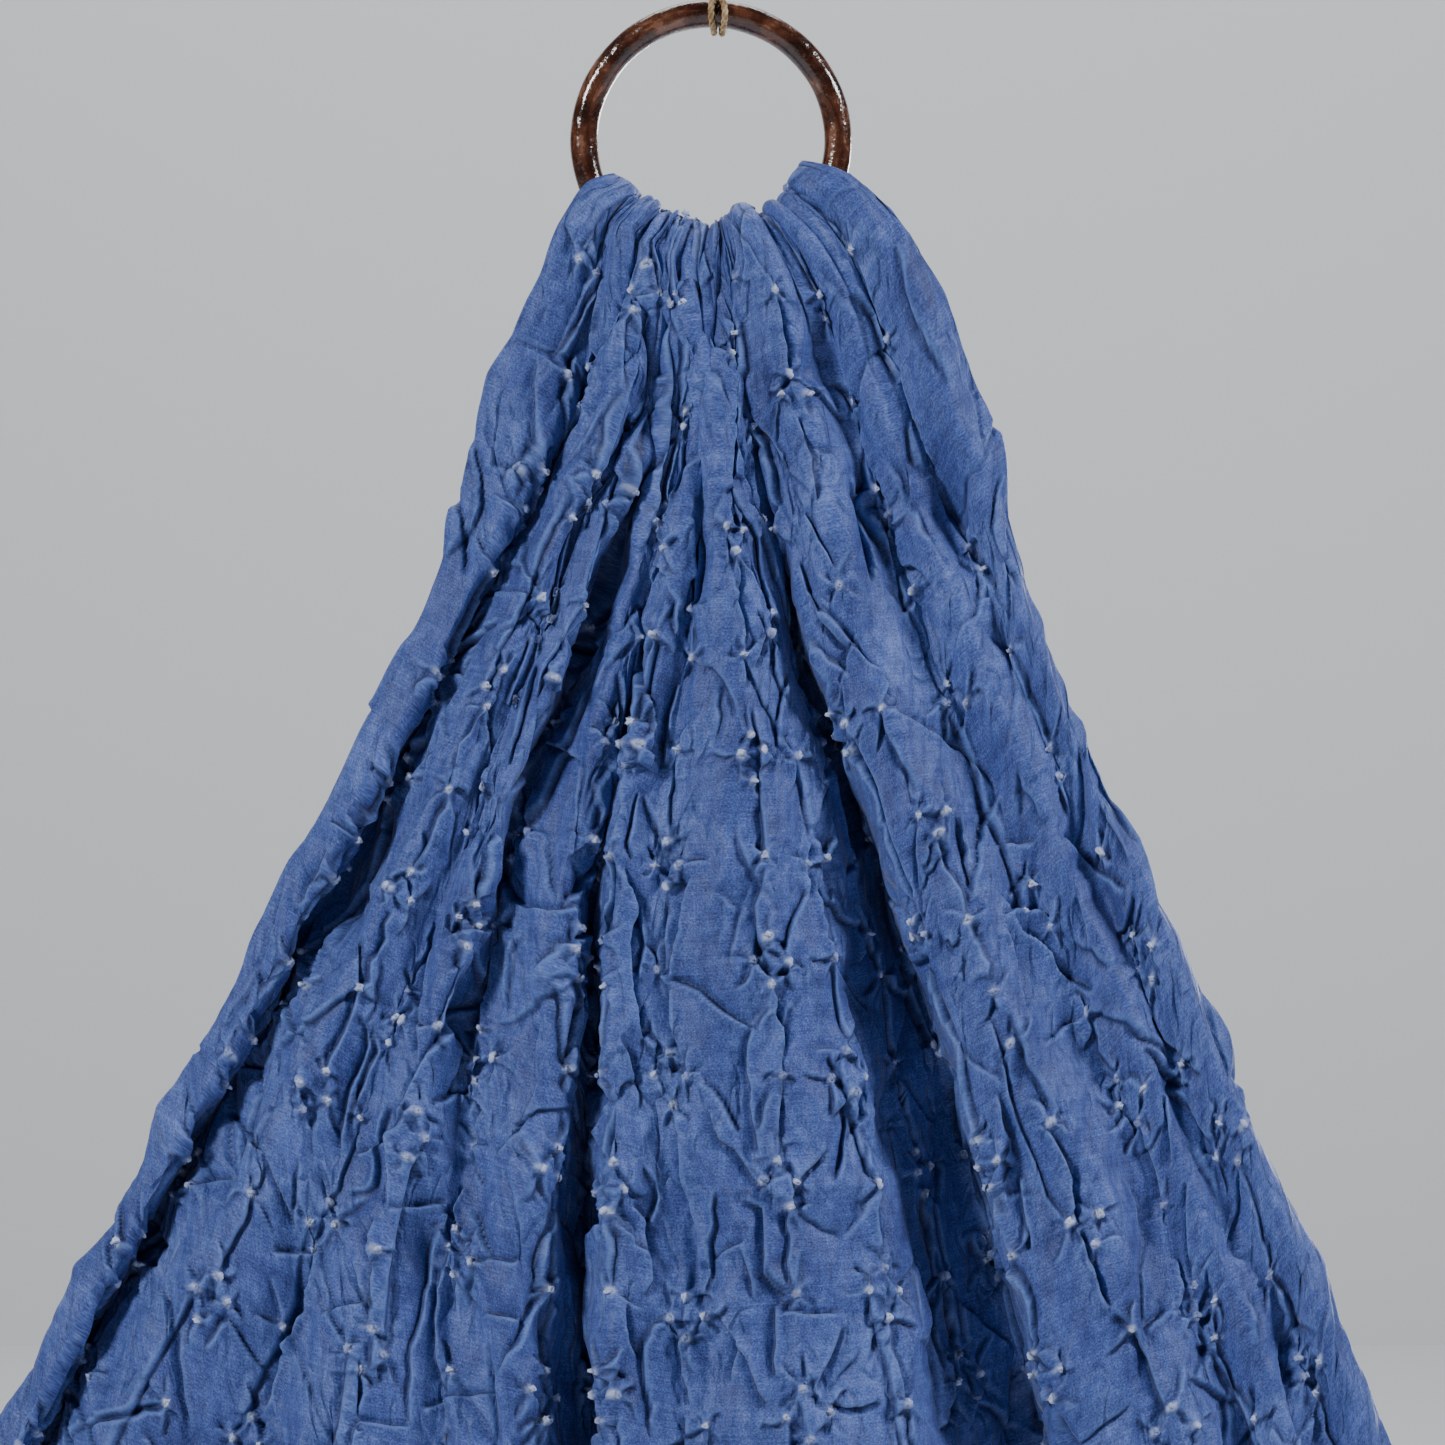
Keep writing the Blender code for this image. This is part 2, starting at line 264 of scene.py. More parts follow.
def wrap_route():
    """The twine from the knot, twice round the ring's tube, and back to the knot."""
    angles = np.arange(TURNS[0][0], TURNS[-1][0] + 1, TURN_STEP)
    knots = [turn[0] for turn in TURNS]
    along_ring = smooth_through(knots, [[turn[1] * MM] for turn in TURNS], angles)[:, 0]
    radius = RING_TUBE_RADIUS + TWINE_TO_RING + TWINE_DIAMETER / 2
    turns = np.radians(angles)
    tube_height = RING_CENTRE[2] + np.sqrt(RING_MID_RADIUS**2 - along_ring**2)
    loop = np.stack([along_ring, -radius * np.sin(turns), tube_height + radius * np.cos(turns)], axis=1)
    underside = KNOT_CENTRE - np.array([0.0, 0.0, KNOT_RADII[2] + TOUCH_GAP])
    start = underside + np.array([-TWINE_END_SPREAD, -TWINE_END_SPREAD, 0.0])
    end = underside + np.array([TWINE_END_SPREAD, TWINE_END_SPREAD, 0.0])
    return np.vstack([[start, (start + loop[0]) / 2], loop, [(end + loop[-1]) / 2, end]])


def eye_route():
    """The twine's eye: up from the knot, over at the origin and down to the knot again."""
    foot = KNOT_CENTRE[2] + KNOT_RADII[2] + TOUCH_GAP
    height = -TWINE_DIAMETER / 2 - foot
    middles = [KNOT_CENTRE[0] * (1 - share) for share, _ in EYE_SHAPE]
    left, right = (
        [(middle + side * half * MM, 0.0, foot + share * height)
         for middle, (share, half) in zip(middles, EYE_SHAPE)]
        for side in (-1, 1)
    )
    return np.array(left + right[-2::-1])


wrap_line = evenly(wrap_route(), 300)
eye_line = evenly(eye_route(), 260)

# %% The twine's yarns
YARNS = 3
YARN_RADIUS = 0.50 * MM
YARN_OFFSET = 0.50 * MM
TWIST_LENGTH = 6.5 * MM
FIRST_SIDEWAYS = (0.35, 1.0, 0.2)


def yarn_lines(route):
    """Lines that wind round a route, one for each yarn, with the route's frame carried along it."""
    tangent = np.gradient(route, axis=0)
    tangent /= np.linalg.norm(tangent, axis=1)[:, None]
    across = np.cross(tangent[0], FIRST_SIDEWAYS)
    frames = []
    for direction in tangent:
        across = across - direction * np.dot(across, direction)
        across /= np.linalg.norm(across)
        frames.append(across)
    frames = np.array(frames)
    other = np.cross(tangent, frames)
    turn = math.tau * distances_along(route) / TWIST_LENGTH
    lines = []
    for yarn in range(YARNS):
        angle = (turn + math.tau * yarn / YARNS)[:, None]
        lines.append(route + YARN_OFFSET * (np.cos(angle) * frames + np.sin(angle) * other))
    return lines


def tubes(name, lines, radius, sides=8, thin_to=None):
    """A mesh of round tubes along lines, made from one curve with a bevel."""
    curve = bpy.data.curves.new(name, "CURVE")
    curve.dimensions = "3D"
    curve.bevel_depth = radius
    curve.bevel_resolution = (sides - 4) // 2
    curve.use_fill_caps = True
    for line in lines:
        spline = curve.splines.new("POLY")
        spline.points.add(len(line) - 1)
        spline.points.foreach_set("co", np.hstack([line, np.ones((len(line), 1))]).ravel())
        if thin_to is not None:
            spline.points.foreach_set("radius", np.linspace(1.0, thin_to, len(line)))
    guide = bpy.data.objects.new(name + "_guide", curve)
    bpy.context.scene.collection.objects.link(guide)
    bpy.context.view_layer.update()
    mesh = bpy.data.meshes.new_from_object(guide.evaluated_get(bpy.context.evaluated_depsgraph_get()))
    bpy.data.objects.remove(guide)
    mesh.name = name
    mesh.shade_smooth()
    return mesh


wrap_mesh = tubes("twine_turns", yarn_lines(wrap_line), YARN_RADIUS)
eye_mesh = tubes("twine_loop", yarn_lines(eye_line), YARN_RADIUS)
wrap = add_piece("twine_turns", wrap_mesh, jute, node="twine_wrap")
eye = add_piece("twine_loop", eye_mesh, jute, node="twine_eye")
print("turns of", count_triangles(wrap_mesh), "and a loop of", count_triangles(eye_mesh), "triangles")

# %% [markdown]
# ## The knot and the loose fibres
# The knot is the twine drawn tight round itself. It could be tied turn by turn, but at 6 mm
# across it shows only as three fat loops pressed into a ball, so three closed loops are tilted
# against each other. Loose fibres stand off the twine wherever it bends. A hair system wouldn't
# be exported, so they are fine tapering tubes.

# %% The knot
KNOT_LOOP_RADIUS = 1.75 * MM
KNOT_LOOP_WAVE = 0.12
# How each loop is tilted about x and y, and where on it its yarns begin, in degrees.
KNOT_TILTS = ((0, 0, 0), (62, 20, 0), (-62, -15, 60))


def knot_lines():
    """Three closed loops of twine, tilted against each other."""
    lines = []
    for about_x, about_y, begin in KNOT_TILTS:
        turn = Matrix.Rotation(math.radians(about_x), 3, "X")
        turn = turn @ Matrix.Rotation(math.radians(about_y), 3, "Y")
        angles = np.linspace(0, math.tau, 40) + math.radians(begin)
        loop = np.stack([np.cos(angles), np.sin(angles), KNOT_LOOP_WAVE * np.sin(2 * angles)], axis=1)
        lines.append(loop * KNOT_LOOP_RADIUS @ np.array(turn.transposed()) + KNOT_CENTRE)
    return lines


knot_yarns = [yarn for line in knot_lines() for yarn in yarn_lines(evenly(line, 90))]
knot_mesh = tubes("twine_knotted", knot_yarns, YARN_RADIUS)
knot = add_piece("twine_knotted", knot_mesh, jute, node="twine_knot")
print("a knot of", count_triangles(knot_mesh), "triangles")

# %% The loose fibres
FIBRE_COUNT = 230
FIBRE_RADIUS = 0.045 * MM
FIBRE_LENGTHS = (1.0 * MM, 5.5 * MM)
# Some have broken off short. They leave the yarns at this distance from the twine's middle.
FIBRE_BROKEN = (0.3, 1.0)
FIBRE_ROOT = 0.7 * MM
FIBRE_OUT = 0.55
FIBRE_CURL = 0.7
FIBRE_TIP = 0.3


def fibre_lines(routes, seed=4):
    """Short hairs that leave the twine at a slant and curl as they go."""
    rng = np.random.default_rng(seed)
    lines = []
    for _ in range(FIBRE_COUNT):
        route = routes[rng.integers(len(routes))]
        at = rng.integers(4, len(route) - 5)
        along = route[at + 3] - route[at - 3]
        along /= np.linalg.norm(along)
        out = np.cross(along, rng.normal(size=3))
        out /= np.linalg.norm(out)
        curl = np.cross(out, along) * rng.uniform(-1, 1)
        length = rng.uniform(*FIBRE_LENGTHS) * rng.uniform(*FIBRE_BROKEN)
        t = np.linspace(0, 1, 6)[:, None]
        direction = out * FIBRE_OUT + along * rng.uniform(-1, 1)
        way = t * direction + t**2 * curl * FIBRE_CURL
        lines.append(route[at] + out * FIBRE_ROOT + length * way)
    return lines


fibre_mesh = tubes(
    "twine_fibres", fibre_lines([wrap_line, eye_line]), FIBRE_RADIUS, sides=4, thin_to=FIBRE_TIP
)
fibres = add_piece("twine_fibres", fibre_mesh, jute)
print(FIBRE_COUNT, "loose fibres")

# %% [markdown]
# ## Lacquered wood
# The bangle is turned wood under a thick dark lacquer. The lacquer is clear and hard, so it gives
# sharp highlights, and it is uneven: it has runs and small knocks that break them up. Under it
# the wood is dark red-brown with paler streaks along the grain, which follows the ring. The
# shader's coat is the lacquer. The grain is a noise stretched along the ring by its UV, and the
# stain, the runs and the knocks are plain noises of three sizes.

# %% The lacquered wood material
# Noise scales are in turns to the metre: the grain's streaks are 14 mm long and 2.4 mm wide, the
# stain's patches 10 mm, the lacquer's runs 5 mm and its knocks 1 mm.
WOOD_GRAIN = (70.0, 420.0, 1.0)
STAIN_PATCHES = 95.0
LACQUER_RUNS = 210.0
LACQUER_KNOCKS = 900.0
LACQUER_IOR = 1.53


def make_wood():
    """Dark stained wood with streaks along the ring, under a clear lacquer with small knocks."""
    wood, shader = new_material("lacquered_wood")
    coords = add_node(wood, "ShaderNodeTexCoord")
    stretch = add_node(
        wood, "ShaderNodeMapping", {"Scale": WOOD_GRAIN}, {"Vector": coords.outputs["UV"]}
    )
    grain = add_node(
        wood, "ShaderNodeTexNoise", {"Scale": 1.0, "Detail": 6.0, "Roughness": 0.62, "Distortion": 0.6},
        {"Vector": stretch.outputs["Vector"]},
    )
    blotch = add_node(
        wood, "ShaderNodeTexNoise", {"Scale": STAIN_PATCHES, "Detail": 3.0, "Roughness": 0.6},
        {"Vector": coords.outputs["Object"]},
    )
    mixed = add_node(
        wood, "ShaderNodeMath", {"operation": "MULTIPLY_ADD", 1: 0.75},
        {0: grain.outputs["Fac"], 2: blotch.outputs["Fac"]},
    )
    ramp = add_node(wood, "ShaderNodeValToRGB", None, {"Fac": mixed.outputs[0]})
    set_ramp(ramp, [(0.62, "#210F0A"), (0.82, "#3D1F15"), (0.97, "#5C3626"), (1.0, "#785241")])
    knocks = add_node(
        wood, "ShaderNodeTexNoise", {"Scale": LACQUER_KNOCKS, "Detail": 3.0, "Roughness": 0.6},
        {"Vector": coords.outputs["Object"]},
    )
    runs = add_node(
        wood, "ShaderNodeTexNoise", {"Scale": LACQUER_RUNS, "Detail": 3.0, "Roughness": 0.55},
        {"Vector": coords.outputs["Object"]},
    )
    wear = add_node(
        wood, "ShaderNodeMapRange", {"From Min": 0.5, "From Max": 0.75, "To Min": 0.16, "To Max": 0.5},
        {"Value": knocks.outputs["Fac"]},
    )
    low_bump = add_node(
        wood, "ShaderNodeBump", {"Strength": 0.55, "Distance": 1.2 * MM},
        {"Height": runs.outputs["Fac"]},
    )
    fine_bump = add_node(
        wood, "ShaderNodeBump", {"Strength": 0.35, "Distance": 0.3 * MM},
        {"Height": knocks.outputs["Fac"], "Normal": low_bump.outputs["Normal"]},
    )
    wood.node_tree.links.new(ramp.outputs["Color"], shader.inputs["Base Color"])
    wood.node_tree.links.new(wear.outputs["Result"], shader.inputs["Roughness"])
    wood.node_tree.links.new(fine_bump.outputs["Normal"], shader.inputs["Normal"])
    shader.inputs["IOR"].default_value = LACQUER_IOR
    shader.inputs["Coat Weight"].default_value = 0.6
    shader.inputs["Coat Roughness"].default_value = 0.12
    return wood


wood = make_wood()
print("wood made")

# %% [markdown]
# ## The bangle
# A turned ring is a circle carried round an axis, which is what spin does. The ready torus would
# give the same shape, but it comes as an object of its own, and this one stays a mesh until it
# is finished. Its points are then shifted a little by a slow wave, because a worn wooden bangle
# isn't perfectly round. The grain needs to know how far round the ring and how far round its
# tube each point is: that is its UV.

# %% The bangle
RING_STEPS = 180
RING_SIDES = 36
RING_WAVE = 0.12 * MM
WEAR = 0.6
WEAR_SWING = 0.5


def ring_angles(places):
    """Each place's angle round the ring, from its foot, and its angle round the tube."""
    x, y, z = (places - RING_CENTRE).T
    around = np.arctan2(x, -z)
    tube = np.arctan2(y, np.hypot(x, z) - RING_MID_RADIUS)
    return around, tube


def make_ring():
    """A circle spun about the ring's axis, then worn a little out of true."""
    bm = bmesh.new()
    beside = Matrix.Translation((RING_MID_RADIUS, 0.0, 0.0))
    bmesh.ops.create_circle(bm, segments=RING_SIDES, radius=RING_TUBE_RADIUS, matrix=beside)
    bmesh.ops.spin(bm, geom=bm.edges[:], cent=(0, 0, 0), axis=(0, 1, 0), angle=math.tau,
                   steps=RING_STEPS, use_merge=True)
    bmesh.ops.translate(bm, vec=tuple(RING_CENTRE), verts=bm.verts[:])
    bmesh.ops.recalc_face_normals(bm, faces=bm.faces[:])
    mesh = bpy.data.meshes.new("bangle")
    bm.to_mesh(mesh)
    bm.free()
    mesh.shade_smooth()
    places = np.zeros(len(mesh.vertices) * 3)
    mesh.vertices.foreach_get("co", places)
    places = places.reshape(-1, 3)
    normals = np.zeros(len(places) * 3)
    mesh.vertices.foreach_get("normal", normals)
    around, tube = ring_angles(places)
    wave = np.sin(5 * around + 1.0) * np.cos(tube - 0.6) + 0.7 * np.sin(13 * around + 2 * tube)
    places -= normals.reshape(-1, 3) * (RING_WAVE * (WEAR + WEAR_SWING * wave))[:, None]
    mesh.vertices.foreach_set("co", places.ravel())
    corner = np.zeros(len(mesh.loops), dtype=int)
    mesh.loops.foreach_get("vertex_index", corner)
    uv = mesh.uv_layers.new(name="grain")
    flat = np.stack([around * RING_MID_RADIUS, tube * RING_TUBE_RADIUS], axis=1)
    uv.data.foreach_set("uv", flat[corner].ravel())
    return mesh


ring = add_piece("bangle", make_ring(), wood, node="ring")
print("bangle of", count_triangles(ring.data), "triangles")

# %% [markdown]
# ## The cloth's main folds
# The silk is one long piece. Its middle lies over the ring's lower arc, and its two halves hang
# in front and behind. A cloth simulation would drape it, but nobody could say where a fold then
# goes. So each ridge or trough of the front half is given as one row below: where it
# crosses the ring, how far it stands off there, how it bows on its way down, and where it has
# come to, in mm, at four levels below the ring's centre, sideways (x) and set in (in). They are
# the same rows that the solid cloth is made on, so the silk lies exactly where that solid does.

# %% The fold table
CLOTH_THICKNESS = 1.0 * MM
CLOTH_TO_RING = 2.8 * MM
FRONT_LENGTH = 455 * MM
BACK_LENGTH = 430 * MM
LEAN_STARTS = 38 * MM
FRONT_LEAN = 0.16
FRONT_CURVE = 0.55
BACK_LEAN = 0.2
BACK_CURVE = 0.3
BACK_WIDTH = 0.88
BACK_FOLD_DEPTHS = (2 * MM, 6 * MM, 11 * MM, 17 * MM)
LEVELS = (70 * MM, 130 * MM, 228 * MM, 391 * MM)
PAST_LAST_LEVEL = 160 * MM

Fold = namedtuple("Fold", "name angle stand bow x1 x2 x3 x4 in1 in2 in3 in4")
FOLDS = (
    Fold("left selvedge", 200, 0.0, -1, -59.5, -78.4, -126.0, -206.5, 5, 7, 12, 18),
    Fold("left edge", 204, 0.6, -1, -62.3, -81.6, -130.0, -213.0, 3, 4, 5, 6),
    Fold("left lip", 212, 1.8, -1, -46.5, -69.5, -119.5, -206.0, 2, 2, 1, 0),
    Fold("trough 1", 221, 0.2, 0, -37.0, -65.0, -115.0, -204.0, 8, 16, 22, 22),
    Fold("ridge 2", 229, 1.8, 0, -26.5, -50.6, -95.8, -175.0, 0, 0, 0, 0),
    Fold("trough 2", 234, 0.8, 0, -21.5, -42.9, -79.8, -141.5, 4, 5, 7, 10),
    Fold("ridge 3", 239, 2.2, 0, -17.5, -36.3, -71.0, -111.0, 2, 2, 3, 2),
    Fold("trough 3", 244, 0.9, 0, -13.8, -31.0, -62.4, -82.0, 9, 22, 18, 10),
    Fold("ridge 3b", 248.5, 2.2, 0, -10.4, -22.0, -44.5, -61.5, 3, 7, 3, 0),
    Fold("trough 4", 253, 1.1, 0, -7.3, -15.5, -33.0, -36.0, 5, 12, 24, 38),
    Fold("ridge 4", 257.5, 2.4, 0, -4.3, -9.8, -28.0, -27.0, 2, 4, 4, 2),
    Fold("trough 4b", 262, 1.1, 0, -1.4, -4.0, -16.5, -6.3, 4, 8, 8, 7),
    Fold("ridge 5", 267.5, 2.4, 0, 1.6, 3.3, 7.2, 14.5, 0, 0, 0, 0),
    Fold("shoulder", 273, 1.8, 0, 4.8, 14.0, 31.2, 55.5, 3, 4, 6, 5),
    Fold("trough 5", 278.5, 0.9, 0, 8.6, 22.5, 54.6, 99.5, 11, 21, 34, 45),
    Fold("ridge 6 lip", 284, 3.0, 0, 13.2, 27.2, 60.6, 109.5, 2, 3, 4, 6),
    Fold("ridge 6", 294, 4.6, 1, 23.4, 37.2, 73.5, 140.0, 0, 0, 0, 0),
    Fold("trough 7", 306, 0.6, 2, 39.3, 58.0, 98.2, 161.5, 9, 12, 10, 9),
    Fold("ridge 7", 315, 2.6, 3, 47.7, 68.8, 109.8, 171.5, 3, 2, 3, 3),
    Fold("trough 8", 323, 0.4, 3, 54.6, 79.0, 117.8, 184.0, 8, 9, 8, 8),
    Fold("ridge 8", 333, 2.0, 8, 69.0, 88.4, 129.6, 196.0, 0, 0, 0, 0),
    Fold("right edge", 341, 0.6, 9, 78.6, 93.4, 134.6, 203.5, 4, 5, 6, 7),
    Fold("right selvedge", 345, 0.0, 9, 75.8, 90.2, 130.0, 197.0, 5, 7, 12, 18),
)
print(len(FOLDS), "folds, from the", FOLDS[0].name, "to the", FOLDS[-1].name)


# %% Where the folds are at each level
def fold_places(field):
    """One column of the fold table as lengths in metres."""
    return np.array([getattr(fold, field) for fold in FOLDS]) * MM


def front_levels():
    """The front half's folds at the four levels, as points: level, fold, coordinate."""
    levels = []
    for number, drop in enumerate(LEVELS, start=1):
        x = fold_places(f"x{number}")
        set_in = fold_places(f"in{number}")
        half_width = (x.max() - x.min()) / 2
        lean = CLOTH_TO_RING + RING_TUBE_RADIUS + FRONT_LEAN * (drop - LEAN_STARTS)
        y = set_in - lean * (1 - FRONT_CURVE * (x / half_width) ** 2)
        z = np.full(len(FOLDS), RING_CENTRE[2] - drop)
        levels.append(np.stack([x, y, z], axis=1))
    return np.array(levels)


def widths_across(front):
    """How far across the flat cloth each fold lies, from the widest that it spreads to."""
    gaps = np.linalg.norm(np.diff(front, axis=1), axis=2)
    return np.concatenate([[0.0], np.cumsum(gaps.max(axis=0))])


def back_levels(front, across):
    """The back half's folds at the same levels: evenly spread, with every other one set in."""
    share = across / across[-1]
    order = np.arange(len(FOLDS))
    uneven = 0.75 + 0.25 * np.sin(2.1 * order)  # a share of the full depth, different for each fold
    levels = []
    for number, drop in enumerate(LEVELS):
        left, right = front[number, :, 0].min(), front[number, :, 0].max()
        x = (left + right) / 2 + BACK_WIDTH * (right - left) * (share - 0.5)
        lean = CLOTH_TO_RING + RING_TUBE_RADIUS + BACK_LEAN * (drop - LEAN_STARTS)
        set_in = BACK_FOLD_DEPTHS[number] * uneven * (order % 2)
        y = lean * (1 - BACK_CURVE * (2 * share - 1) ** 2) - set_in
        z = np.full(len(FOLDS), RING_CENTRE[2] - drop)
        levels.append(np.stack([x, y, z], axis=1))
    return np.array(levels)


ACROSS = widths_across(front_levels())
CLOTH_WIDTH = ACROSS[-1]
cloth_size = (round(CLOTH_WIDTH / MM), round((FRONT_LENGTH + BACK_LENGTH) / MM))
print("the flat cloth is", cloth_size[0], "by", cloth_size[1], "mm")


# %% The surface on its folds
OVER_THE_RING = (90, 67.5, 45, 22.5, 0)
STRAND_STEPS = 900


def half_route(fold, levels, side):
    """A fold's points from the top of the ring's lower arc to below the hem, on one side."""
    angle = math.radians(fold.angle)
    outward = np.array([math.cos(angle), 0.0, math.sin(angle)])
    sideways = np.array([0.0, side, 0.0])
    tube_centre = RING_CENTRE + RING_MID_RADIUS * outward
    reach = RING_TUBE_RADIUS + CLOTH_TO_RING + CLOTH_THICKNESS / 2 + fold.stand * MM
    points = []
    for degrees in OVER_THE_RING:
        turn = math.radians(degrees)
        points.append(tube_centre + reach * (math.cos(turn) * sideways - math.sin(turn) * outward))
    midway = (points[-1] + levels[0]) / 2 + np.array([fold.bow * MM, 0.0, 0.0])
    points.append(midway)
    points.extend(levels)
    onward = levels[-1] - levels[-2]
    points.append(levels[-1] + onward * PAST_LAST_LEVEL / np.linalg.norm(onward))
    return np.array(points)


def strand(fold, front, back, lengths):
    """Points of one fold at the given lengths from the ring: negative ones are on the back half."""
    towards_front = half_route(fold, front, -1.0)
    towards_back = half_route(fold, back, 1.0)
    route = np.vstack([towards_back[:0:-1], towards_front])
    along = distances_along(route)
    fine_along = np.linspace(0.0, along[-1], STRAND_STEPS)
    fine = smooth_through(along, route, fine_along)
    measured = distances_along(fine)
    top = np.interp(along[len(towards_back) - 1], fine_along, measured)
    places = [np.interp(lengths + top, measured, fine[:, axis]) for axis in range(3)]
    return np.stack(places, axis=1)


def surface_on_folds(columns, lengths):
    """The cloth on its main folds: a point for each place across and each length from the ring."""
    front = front_levels()
    back = back_levels(front, ACROSS)
    strands = [strand(fold, front[:, i], back[:, i], lengths) for i, fold in enumerate(FOLDS)]
    flat = np.array(strands).reshape(len(FOLDS), -1)
    return smooth_through(ACROSS, flat, columns).reshape(len(columns), len(lengths), 3)


middle_strand = surface_on_folds([CLOTH_WIDTH / 2], np.array([0.0, FRONT_LENGTH]))[0]
print("its middle falls", round((middle_strand[0, 2] - middle_strand[1, 2]) / MM), "mm in front")

# %% [markdown]
# ## Where the cloth was tied
# Tie-dyers mark the cloth with a grid of dots first and then pinch and tie each one. Here they
# stand as fours in small diamonds, with a single one in each gap between them. A picture of the
# dots would be flat, so each one is a place, by its column and row, that creases and rosettes
# are made from. Places are given flat, in mm: u across from the cloth's left edge and v along
# from the ring, with the back half below zero. A hand did the tying, so no row is quite
# straight.

# %% The ties
COLUMN_PITCH = 32.0
ROW_PITCH = 32.5
FIRST_ROW = 161.0 - 19 * ROW_PITCH
DIAMOND = ((0.0, -7.0), (-6.0, 0.0), (6.0, 0.0), (0.0, 7.0))
WIDTH_MM = CLOTH_WIDTH / MM
FRONT_MM = FRONT_LENGTH / MM
BACK_MM = BACK_LENGTH / MM
CENTRE_COLUMN = 353.0
COLUMNS = range(-14, 14)
ROWS = range(0, 34)
SITE_WANDER = (1.6, 1.8)
TIE_WANDER = 0.8
SIDE_MARGIN = 6.0
HEM_MARGIN = 8.0

Site = namedtuple("Site", "centre ties")


def make_sites(seed=11):
    """The sites of the pattern by their column and row, each with the places of its ties."""
    rng = np.random.default_rng(seed)
    sites = {}
    for column in COLUMNS:
        for row in ROWS:
            centre = np.array([CENTRE_COLUMN + column * COLUMN_PITCH, FIRST_ROW + row * ROW_PITCH])
            centre = centre + rng.normal(size=2) * SITE_WANDER
            shape = DIAMOND if (column + row) % 2 else ((0.0, 0.0),)
            ties = [centre + np.array(place) + rng.normal(size=2) * TIE_WANDER for place in shape]
            u, v = centre
            inside_edges = SIDE_MARGIN < u < WIDTH_MM - SIDE_MARGIN
            if inside_edges and HEM_MARGIN - BACK_MM < v < FRONT_MM - HEM_MARGIN:
                sites[column, row] = Site(centre, ties)
    return sites


sites = make_sites()
ties = np.array([tie for site in sites.values() for tie in site.ties])
print(len(sites), "sites with", len(ties), "ties")

# %% [markdown]
# ## As it hangs
# Towards the ring the cloth is gathered, so less and less of its width shows. A hung place has the
# same v, and its u is measured along the main folds, from the middle, at that height. Pleats take
# up the rest of the width, so about half of it counts even where the folds leave less. Creases,
# facets and ties are laid out on hung places, so they keep their size all the way up. Where the
# cloth is gathered most, many of the ties are hidden in its pleats.

# %% Hung places
CLOTH_MIDDLE = WIDTH_MM / 2
LEFT_BY_PLEATS = 0.55
COARSE_U = np.linspace(0, WIDTH_MM, 181)
COARSE_V = np.linspace(-BACK_MM, FRONT_MM, 91)
TIES_SHOWN = 1.8
TIES_HIDDEN = 0.55
coarse_cloth = surface_on_folds(COARSE_U * MM, COARSE_V * MM)
coarse_steps = np.linalg.norm(np.diff(coarse_cloth, axis=0), axis=2) / MM
coarse_steps = np.maximum(coarse_steps, LEFT_BY_PLEATS * COARSE_U[1])
HUNG_U = np.vstack([np.zeros(len(COARSE_V)), np.cumsum(coarse_steps, axis=0)])
HUNG_U += CLOTH_MIDDLE - HUNG_U[len(COARSE_U) // 2]


def gather_at(v):
    """What share of the flat width is left at places along the cloth."""
    return np.interp(v, COARSE_V, (HUNG_U[-1] - HUNG_U[0]) / WIDTH_MM)


def hung(places):
    """Flat places as they hang, measured along the folds."""
    u, v = np.moveaxis(np.asarray(places, dtype=float), -1, 0)
    column = np.clip(u / COARSE_U[1], 0, len(COARSE_U) - 1.001)
    row = np.clip((v - COARSE_V[0]) / (COARSE_V[1] - COARSE_V[0]), 0, len(COARSE_V) - 1.001)
    i, j = column.astype(int), row.astype(int)
    above = HUNG_U[i, j] + (column - i) * (HUNG_U[i + 1, j] - HUNG_U[i, j])
    below = HUNG_U[i, j + 1] + (column - i) * (HUNG_U[i + 1, j + 1] - HUNG_U[i, j + 1])
    return np.stack([above + (row - j) * (below - above), v], axis=-1)


def shown_ties(seed=43):
    """The ties that aren't hidden in the gathers."""
    rng = np.random.default_rng(seed)
    return ties[rng.random(len(ties)) < TIES_SHOWN * gather_at(ties[:, 1]) - TIES_HIDDEN]


ties = shown_ties()
hung_ties = hung(ties)
print(len(ties), "ties show; at the ring", round(float(gather_at(0)), 2), "of the width is left")
